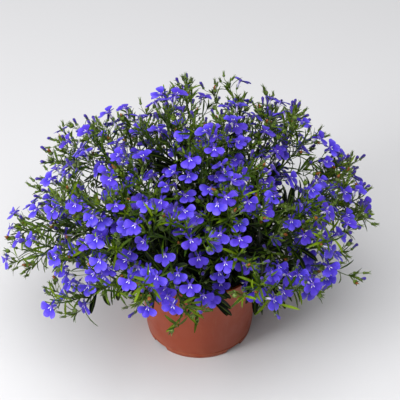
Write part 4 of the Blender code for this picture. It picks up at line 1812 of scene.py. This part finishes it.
@dataclass(frozen=True)
class TubeFinish:
    """The pale flower tube; buds, whose tone is below nought, are deep violet to their tips."""

    base: tuple = srgb(206, 200, 236)
    mouth: tuple = srgb(120, 96, 214)
    bud: tuple = srgb(62, 44, 142)
    bud_foot: tuple = srgb(86, 96, 92)

    def material(self) -> Material:
        """Paints it.

        Returns:
            The tubes' material.
        """
        paint = Paint("flower_tube", self.base, 0.5, 0.3, 0.2)
        along, tone = paint.value("along"), paint.value("tone")
        paint.lay(self.mouth, paint.step(along, 0.35, 0.95))
        bud = paint.mix(paint.step(along, 0.05, 0.45), self.bud_foot, self.bud)
        paint.lay(bud, paint.math("LESS_THAN", tone, -0.5))
        paint.lay(self.bud, paint.step(paint.noise(600), 0.4, 0.8, 0.0, 0.25))
        return paint.done()


@dataclass(frozen=True)
class SpotFinish:
    """A small dull part in two colours that run into each other."""

    name: str
    first: tuple
    second: tuple

    def material(self) -> Material:
        """Paints it.

        Returns:
            The part's material.
        """
        paint = Paint(self.name, self.first, 0.7, 0.3)
        paint.lay(self.second, paint.step(paint.value("along"), 0.2, 0.9))
        paint.lay(self.first, paint.step(paint.noise(700, 3), 0.4, 0.7, 0.0, 0.5))
        return paint.done()


@dataclass(frozen=True)
class LeafFinish:
    """Leaf green from old and dark to young and bright, with a paler midrib; the darkest greens are also
    painted shade on leaves deep inside the plant.
    """

    # Near-black: old leaves, and painted shade on leaves inside the plant.
    old: tuple = srgb(8, 19, 5)
    grown: tuple = srgb(42, 66, 4)
    young: tuple = srgb(108, 132, 12)
    rib: tuple = srgb(118, 142, 36)

    def material(self) -> Material:
        """Paints it.

        Returns:
            The leaves' material.
        """
        paint = Paint("leaf", self.old, 0.48, 0.16)
        tone = paint.value("tone")
        tone = paint.math("ADD", tone, paint.step(paint.noise(160, 3), 0.2, 0.8, -0.14, 0.14))
        paint.lay(self.grown, paint.step(tone, 0.0, 0.55))
        paint.lay(self.young, paint.step(tone, 0.50, 1.0))
        beside = paint.math("ABSOLUTE", paint.value("across"))
        paint.lay(self.rib, paint.step(beside, 0.02, 0.22, 0.35, 0.0))
        tip = paint.step(paint.value("along"), 0.0, 0.25, 0.25, 0.0)
        paint.lay(self.grown, tip)
        paint.bump(paint.noise(1100), 0.00015, 0.4)
        return paint.done()


@dataclass(frozen=True)
class StemFinish:
    """Green stems that are browner and darker low down, partly their own colour and partly painted shade
    inside the plant, with a purple flush here and there.
    """

    name: str
    low: tuple
    high: tuple
    flush: tuple

    def material(self) -> Material:
        """Paints it.

        Returns:
            The stems' material.
        """
        paint = Paint(self.name, self.low, 0.5, 0.4)
        # Darker towards each stem's foot and on the leading stems: partly browner old stem, partly painted
        # shade deep inside the plant.
        paint.lay(self.high, paint.step(paint.value("along"), 0.0, 0.8))
        paint.lay(self.low, paint.step(paint.value("tone"), 0.2, 1.0, 0.3, 0.0))
        paint.lay(self.flush, paint.step(paint.noise(90, 3), 0.50, 0.75, 0.0, 0.5))
        paint.bump(paint.noise(900, 2, (1, 1, 0.25)), 0.00015, 0.4)
        return paint.done()


@dataclass(frozen=True)
class PotFinish:
    """Satin terracotta-coloured plastic, slightly clouded, with dust low down and faint rubbed marks."""

    body: tuple = srgb(150, 65, 36)
    cloud: tuple = srgb(136, 56, 30)
    dust: tuple = srgb(172, 116, 86)

    def material(self) -> Material:
        """Paints it.

        Returns:
            The pot's material.
        """
        paint = Paint("terracotta_plastic", self.body, 0.42, 0.35)
        paint.lay(self.cloud, paint.step(paint.noise(26, 4), 0.35, 0.70, 0.0, 0.55))
        rub = paint.step(paint.noise(220, 4, (1, 1, 0.12)), 0.58, 0.80, 0.0, 0.20)
        paint.lay(self.dust, rub)
        split = paint.tree.nodes.new("ShaderNodeSeparateXYZ")
        paint.feed(split.inputs[0], paint.place())
        low = paint.step(split.outputs["Z"], 0.0, 0.020, 0.30, 0.0)
        dirt = paint.math("MULTIPLY", low, paint.step(paint.noise(120, 4), 0.40, 0.65))
        paint.lay(self.dust, dirt)
        rough = paint.step(paint.noise(60, 4), 0.3, 0.7, 0.36, 0.52)
        paint.feed(paint.shader.inputs["Roughness"], rough)
        paint.bump(paint.math("ADD", paint.noise(1500), paint.noise(300, 2, (1, 1, 0.2))), 0.0002, 0.25)
        return paint.done()


@dataclass(frozen=True)
class SoilFinish:
    """Dark fibrous compost with paler fibres."""

    wet: tuple = srgb(44, 32, 24)
    crumb: tuple = srgb(78, 58, 42)
    fibre: tuple = srgb(128, 104, 76)

    def material(self) -> Material:
        """Paints it.

        Returns:
            The soil's material.
        """
        paint = Paint("potting_soil", self.wet, 0.92, 0.2)
        paint.lay(self.crumb, paint.step(paint.noise(260, 5), 0.38, 0.66))
        fibres = paint.step(paint.noise(900, 4, (1, 0.3, 1)), 0.62, 0.74, 0.0, 0.8)
        paint.lay(self.fibre, fibres)
        paint.bump(paint.noise(700, 5), 0.0010, 0.8)
        return paint.done()


@dataclass(frozen=True)
class FloorFinish:
    """A plain pale floor."""

    tint: tuple = srgb(215, 215, 217)
    shade: tuple = srgb(208, 208, 210)

    def material(self) -> Material:
        """Paints it.

        Returns:
            The floor's material.
        """
        paint = Paint("pale_floor", self.tint, 0.85, 0.2)
        paint.lay(self.shade, paint.step(paint.noise(3), 0.3, 0.7, 0.0, 0.05))
        return paint.done()


def turned(profile: list[Pair], count: int) -> tuple[Vec, Faces]:
    """A form turned round the Z axis, closed on the axis at both ends of its profile.

    Args:
        profile: radius and height of each ring; the first and the last lie on the axis.
        count: points on a ring.

    Returns:
        The points and the faces.
    """
    rings = np.array(profile[1:-1])
    angles = np.arange(count) * 2 * math.pi / count
    flat = [np.outer(rings[:, 0], np.cos(angles)), np.outer(rings[:, 0], np.sin(angles))]
    body = np.stack([*flat, np.tile(rings[:, 1:], (1, count))], axis=-1).reshape(-1, 3)
    points = np.vstack([body, [[0, 0, profile[0][1]], [0, 0, profile[-1][1]]]])
    index, quads = ring_faces(len(rings), count)
    after = np.roll(index, -1, axis=1)
    foot = np.stack([np.full(count, len(body)), after[0], index[0]], axis=1)
    head = np.stack([np.full(count, len(body) + 1), index[-1], after[-1]], axis=1)
    return points, [quads, foot, head]


def rounded(corners: list[tuple[float, float, float]], steps: int) -> list[Pair]:
    """A profile with its corners rounded.

    Args:
        corners: radius, height and rounding of each corner; the first and the last are never rounded.
        steps: points on each rounding.

    Returns:
        The points of the rounded profile.
    """
    out: list[Pair] = []
    for k, (r, z, cut) in enumerate(corners):
        if cut == 0:
            out.append((r, z))
            continue
        here = np.array([r, z])
        ways = [np.array(corners[near][:2]) - here for near in (k - 1, k + 1)]
        a, b = (here + unit(way) * min(cut, 0.45 * np.linalg.norm(way)) for way in ways)
        for t in np.linspace(0, 1, steps):
            point = a * (1 - t) ** 2 + 2 * here * t * (1 - t) + b * t**2
            out.append((float(point[0]), float(point[1])))
    return out


@dataclass
class NurseryPot:
    """The moulded pot: rim band, tapered wall, raised floor with drain holes, and a notched foot."""

    sizes: PotSizes
    finish: PotFinish = PotFinish()
    around: int = 144
    round_steps: int = 4
    sharp: float = 32.0
    notch_rise: float = 0.0046
    notch_middle: float = 0.0500
    notch_depth: float = 0.0096
    notch_round: float = 0.0009
    groove_depth: float = 0.0013

    def profile(self) -> list[Pair]:
        """The half outline of the pot, from the middle of its underside round to its inside.

        Returns:
            The radius and height of each point.
        """
        s = self.sizes
        floor_top = s.floor_lift + s.floor_thickness
        step = s.wall_radius(s.foot_height)
        shoulder = s.height - s.band_height
        corners = [
            (0, 0, 0),
            (s.pad_radius, 0, 0.0006),
            (s.pad_radius + 0.0012, s.floor_lift, 0.0006),
            (s.foot_radius - 0.0062, s.floor_lift, 0.0006),
            (s.foot_radius - 0.0052, 0, 0.0004),
            (s.foot_radius - 0.0004, 0, 0.0012),
            (s.foot_radius + 0.0001, 0.0010, 0.0004),
            (step - 0.0003, s.foot_height - 0.0007, 0.0003),
            (step - self.groove_depth, s.foot_height - 0.0002, 0.0002),
            (step - self.groove_depth, s.foot_height + 0.0004, 0.0002),
            (step, s.foot_height + 0.0009, 0.0003),
            (s.wall_radius(shoulder), shoulder, 0.0006),
            (s.rim_radius - 0.0003, shoulder + 0.0010, 0.0008),
            (s.rim_radius, s.height - 0.0006, 0.0008),
            (s.rim_radius - 0.0010, s.height, 0.0008),
            (s.rim_radius - 0.0024, s.height, 0.0008),
            (s.wall_radius(s.height) - s.wall, s.height - 0.0015, 0.0010),
            (s.wall_radius(floor_top + 0.004) - s.wall, floor_top + 0.0040, 0.0030),
            (s.foot_radius - 0.0025, floor_top, 0.0020),
            (0, floor_top, 0),
        ]
        return rounded(corners, self.round_steps)

    def build(self) -> bpy.types.Object:
        """Builds the pot, cuts its notches and drain holes, and dresses it.

        Returns:
            The pot's object.
        """
        s = self.sizes
        skin = Skin()
        skin.add(plain_form(*turned(self.profile(), self.around)), 0.5)
        pot = skin.made("nursery_pot", [self.finish.material()], self.sharp)
        cutters = bpy.data.collections.new("pot_cutters")
        bpy.context.scene.collection.children.link(cutters)
        for k in range(s.notches):
            turn = s.notch_turn + k * 2 * math.pi / s.notches
            for mesh in (self.notch(turn), self.drain(turn + math.pi / s.notches)):
                cutters.objects.link(bpy.data.objects.new(mesh.name, mesh))
        step = pot.modifiers.new("cut", "BOOLEAN")
        step.operand_type, step.collection, step.solver = "COLLECTION", cutters, "EXACT"
        bpy.context.view_layer.update()
        evaluated = pot.evaluated_get(bpy.context.evaluated_depsgraph_get())
        result = bpy.data.meshes.new_from_object(evaluated)
        pot.modifiers.clear()
        pot.data = result
        for helper in list(cutters.objects):
            bpy.data.objects.remove(helper)
        bpy.data.collections.remove(cutters)
        pot.data.shade_smooth()
        pot.data.set_sharp_from_angle(angle=math.radians(self.sharp))
        return pot

    def notch(self, turn: float) -> bpy.types.Mesh:
        """The block that cuts one notch out of the foot ring, its upper corners rounded.

        Args:
            turn: the notch's place round the pot.

        Returns:
            The block's mesh.
        """
        shape = bmesh.new()
        bmesh.ops.create_cube(shape, size=1.0)
        size = (self.notch_depth, self.sizes.notch_width, 2 * self.notch_rise)
        bmesh.ops.scale(shape, vec=size, verts=shape.verts)
        upper = [e for e in shape.edges if e.verts[0].co.x * e.verts[1].co.x < 0 and e.verts[0].co.z > 0]
        bmesh.ops.bevel(shape, geom=upper, offset=self.notch_round, segments=3, affect="EDGES")
        for vert in shape.verts:
            x, y = vert.co.x + self.notch_middle, vert.co.y
            vert.co.x = x * math.cos(turn) - y * math.sin(turn)
            vert.co.y = x * math.sin(turn) + y * math.cos(turn)
        return mesh_of(shape, "notch")

    def drain(self, turn: float) -> bpy.types.Mesh:
        """The round cutter of one drain hole.

        Args:
            turn: the hole's place round the pot.

        Returns:
            The cutter's mesh.
        """
        s = self.sizes
        shape = bmesh.new()
        radii = {"radius1": s.drain_radius, "radius2": s.drain_radius}
        bmesh.ops.create_cone(shape, cap_ends=True, segments=32, depth=0.02, **radii)
        where = (s.drain_circle * math.cos(turn), s.drain_circle * math.sin(turn), 0.0)
        bmesh.ops.translate(shape, vec=where, verts=shape.verts)
        return mesh_of(shape, "drain")


@dataclass
class Compost:
    """The soil in the pot: a crumbly top with loose lumps on it."""

    sizes: PotSizes
    finish: SoilFinish = SoilFinish()
    around: int = 120
    rings: int = 34
    lumps: int = 420
    waves: int = 14
    relief: float = 0.0011
    seed: int = 3

    def build(self) -> bpy.types.Object:
        """Builds the soil with its lumps, and dresses it.

        Returns:
            The soil's object.
        """
        s = self.sizes
        rng = np.random.default_rng(self.seed)
        floor_top = s.floor_lift + s.floor_thickness
        inset = s.wall + s.seat_gap
        edge = s.wall_radius(s.soil_edge_z) - inset
        profile = [
            (0.0, floor_top + s.seat_gap),
            (s.foot_radius - 0.0028, floor_top + s.seat_gap),
            (s.wall_radius(floor_top + 0.004) - inset, floor_top + 0.0044),
            (edge, s.soil_edge_z - 0.0012),
        ]
        radii = edge - 0.0004 - np.linspace(0, 1, self.rings) ** 0.9 * (edge - 0.0010)
        profile += [(float(r), s.soil_z(float(r)) - 0.0012) for r in radii]
        profile.append((0.0, s.soil_z(0.0) - 0.0012))
        points, faces = turned(profile, self.around)
        top = np.hypot(points[:, 0], points[:, 1]) < edge - 0.0003
        top &= points[:, 2] > s.soil_edge_z - 0.002
        phases = rng.uniform(0, 6.3, (self.waves, 3))[:, 0]
        ways = rng.normal(size=(self.waves, 2)) * np.linspace(150, 1100, self.waves)[:, None]
        for phase, way, size in zip(phases, ways, np.linspace(1.0, 0.25, self.waves)):
            points[top, 2] += 0.30 * self.relief * size * np.sin(points[top, :2] @ way + phase)
        skin = Skin()
        skin.add(plain_form(points, faces), 0.5)
        ball, ball_faces = self.lump()
        for _ in range(self.lumps):
            out = (edge - 0.004) * math.sqrt(rng.random())
            turn = rng.uniform(0, 2 * math.pi)
            size = 0.0006 + 0.0019 * rng.random() ** 2.2
            shape = ball * (1 + 0.30 * rng.normal(size=(len(ball), 1))) * rng.uniform(0.6, 1.2, 3)
            height = s.soil_z(out) - 0.0008 + 0.25 * size
            centre = np.array([out * math.cos(turn), out * math.sin(turn), height])
            skin.add(plain_form(centre + size * shape, ball_faces), rng.random())
        return skin.made("potting_soil", [self.finish.material()], 40)

    def lump(self) -> tuple[Vec, Faces]:
        """A round crumb of radius 1.

        Returns:
            Its points and faces.
        """
        shape = bmesh.new()
        bmesh.ops.create_icosphere(shape, subdivisions=1, radius=1.0)
        points = np.array([tuple(v.co) for v in shape.verts])
        faces = np.array([[v.index for v in face.verts] for face in shape.faces])
        shape.free()
        return points, [faces]


@dataclass
class Lobelia:
    """The plant: its growth, and the pieces made of it."""

    sizes: PotSizes
    sharp: float = 48.0
    # The stems' low colour is near-black: older stem, and painted shade inside the plant.
    stem: StemFinish = StemFinish("stem", srgb(18, 27, 9), srgb(58, 84, 20), srgb(60, 40, 38))
    leaf: LeafFinish = LeafFinish()
    calyx: StemFinish = StemFinish("calyx", srgb(64, 80, 30), srgb(98, 122, 40), srgb(74, 54, 80))
    petal: PetalFinish = PetalFinish()
    tube: TubeFinish = TubeFinish()
    anther: SpotFinish = SpotFinish("anther", srgb(70, 42, 92), srgb(120, 110, 140))
    withered: SpotFinish = SpotFinish("withered", srgb(112, 64, 32), srgb(152, 94, 48))

    def build(self) -> None:
        """Grows the plant and builds two pieces for each spray."""
        plan = GrowthPlan(self.sizes)
        plan.grow()
        self.report("main growth", plan)
        FineGrowth(plan).grow()
        self.report("with fine growth", plan)
        forms = SprayForms(plan)
        green_finishes = [finish.material() for finish in (self.stem, self.leaf, self.calyx)]
        colours = (self.petal, self.tube, self.anther, self.withered)
        bloom_finishes = [finish.material() for finish in colours]
        for number, spray in enumerate(plan.sprays):
            kind = "spray" if number < plan.dome_sprays else "skirt_spray"
            node = f"{kind}_{number + 1:02d}"
            greens = forms.greens(spray).made(f"{node}_greens", green_finishes, self.sharp)
            blooms = forms.petals(spray).made(f"{node}_blooms", bloom_finishes, self.sharp)
            for piece in (greens, blooms):
                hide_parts(node)
                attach(piece, BODY)
            log.info("%s: %d + %d faces", node, len(greens.data.polygons), len(blooms.data.polygons))

    def report(self, when: str, plan: GrowthPlan) -> None:
        """Logs how much has grown."""
        for kind in ("shoots", "blooms", "leaves", "buds"):
            log.info("%s: %d %s", when, sum(len(getattr(spray, kind)) for spray in plan.sprays), kind)


@dataclass(frozen=True)
class Lamp:
    """A square soft light: its direction from +X, its angle above the floor, its distance, side and power."""

    name: str
    turn: float
    height: float
    distance: float
    size: float
    power: float


@dataclass
class Studio:
    """The floor, the lights and the camera at the photograph's view."""

    aim_height: float = 0.090
    elevation: float = math.radians(42)
    distance: float = 1.30
    pitch: float = math.radians(39.77)
    focal_pixels: float = 1374.0
    picture_pixels: float = 400.0
    sensor: float = 36.0
    side_step: float = 0.0006
    lamps: tuple[Lamp, ...] = (
        Lamp("key", math.radians(268), math.radians(72), 2.4, 2.3, 75.0),
        Lamp("side", math.radians(208), math.radians(26), 2.0, 0.8, 31.0),
    )
    lamp_aim: tuple[float, float, float] = (0, 0, 0.12)
    sky: float = 0.11
    sky_colour: tuple = srgb(253, 253, 254)
    floor_half: float = 6.0

    def build(self) -> None:
        """Sets up the floor, the lights, the sky and the camera."""
        scene = bpy.context.scene
        scene.view_settings.view_transform = "Standard"
        self.floor()
        for lamp in self.lamps:
            self.light(lamp)
        world = bpy.data.worlds.new("studio_sky")
        world.use_nodes = True
        sky = world.node_tree.nodes["Background"]
        sky.inputs["Color"].default_value = self.sky_colour
        sky.inputs["Strength"].default_value = self.sky
        scene.world = world
        self.camera()

    def floor(self) -> None:
        """A wide plain floor under the pot."""
        shape = bmesh.new()
        bmesh.ops.create_grid(shape, x_segments=4, y_segments=4, size=self.floor_half)
        mesh = mesh_of(shape, "floor")
        mesh.materials.append(FloorFinish().material())
        linked("floor", mesh)

    def light(self, lamp: Lamp) -> None:
        """Sets up a lamp so that it points at the plant.

        Args:
            lamp: the lamp.
        """
        data = bpy.data.lights.new(lamp.name, "AREA")
        data.size, data.energy = lamp.size, lamp.power
        made = linked(lamp.name, data)
        way = Vector(heading(math.pi / 2 - lamp.height, lamp.turn))
        made.location = Vector(self.lamp_aim) + lamp.distance * way
        made.rotation_euler = way.to_track_quat("Z", "Y").to_euler()

    def camera(self) -> None:
        """The camera that sees the plant as the photograph does."""
        lens = bpy.data.cameras.new("photo_view")
        lens.sensor_width = self.sensor
        lens.lens = self.focal_pixels / self.picture_pixels * self.sensor
        lens.clip_start, lens.clip_end = 0.05, 30.0
        made = linked("photo_view", lens)
        out, up = math.cos(self.elevation) * self.distance, math.sin(self.elevation) * self.distance
        made.location = (self.side_step, -out, self.aim_height + up)
        made.rotation_euler = (math.pi / 2 - self.pitch, 0, 0)
        bpy.context.scene.camera = made


def clear_defaults() -> None:
    """Removes what isn't part of the frame."""
    kept = set(frame["nodes"].values()) | set(frame["bodies"].values())
    for old in [o for o in bpy.data.objects if o not in kept]:
        bpy.data.objects.remove(old)


def corners(box: tuple) -> list[list[float]]:
    """A box's two corners as plain lists."""
    return [[float(value) for value in corner] for corner in box]


def main() -> None:
    """Builds the pot, the soil, the plant and the studio, and logs their face counts."""
    logging.basicConfig(level=logging.INFO, format="%(name)s: %(message)s")
    clear_defaults()
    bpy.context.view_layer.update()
    sizes = PotSizes()
    pot = NurseryPot(sizes).build()
    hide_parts("pot")
    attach(pot, BODY)
    log.info("pot: %d faces", len(pot.data.polygons))
    soil = Compost(sizes).build()
    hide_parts("soil")
    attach(soil, BODY)
    log.info("soil: %d faces", len(soil.data.polygons))
    Lobelia(sizes).build()
    Studio().build()


if __name__ == "__main__":
    main()
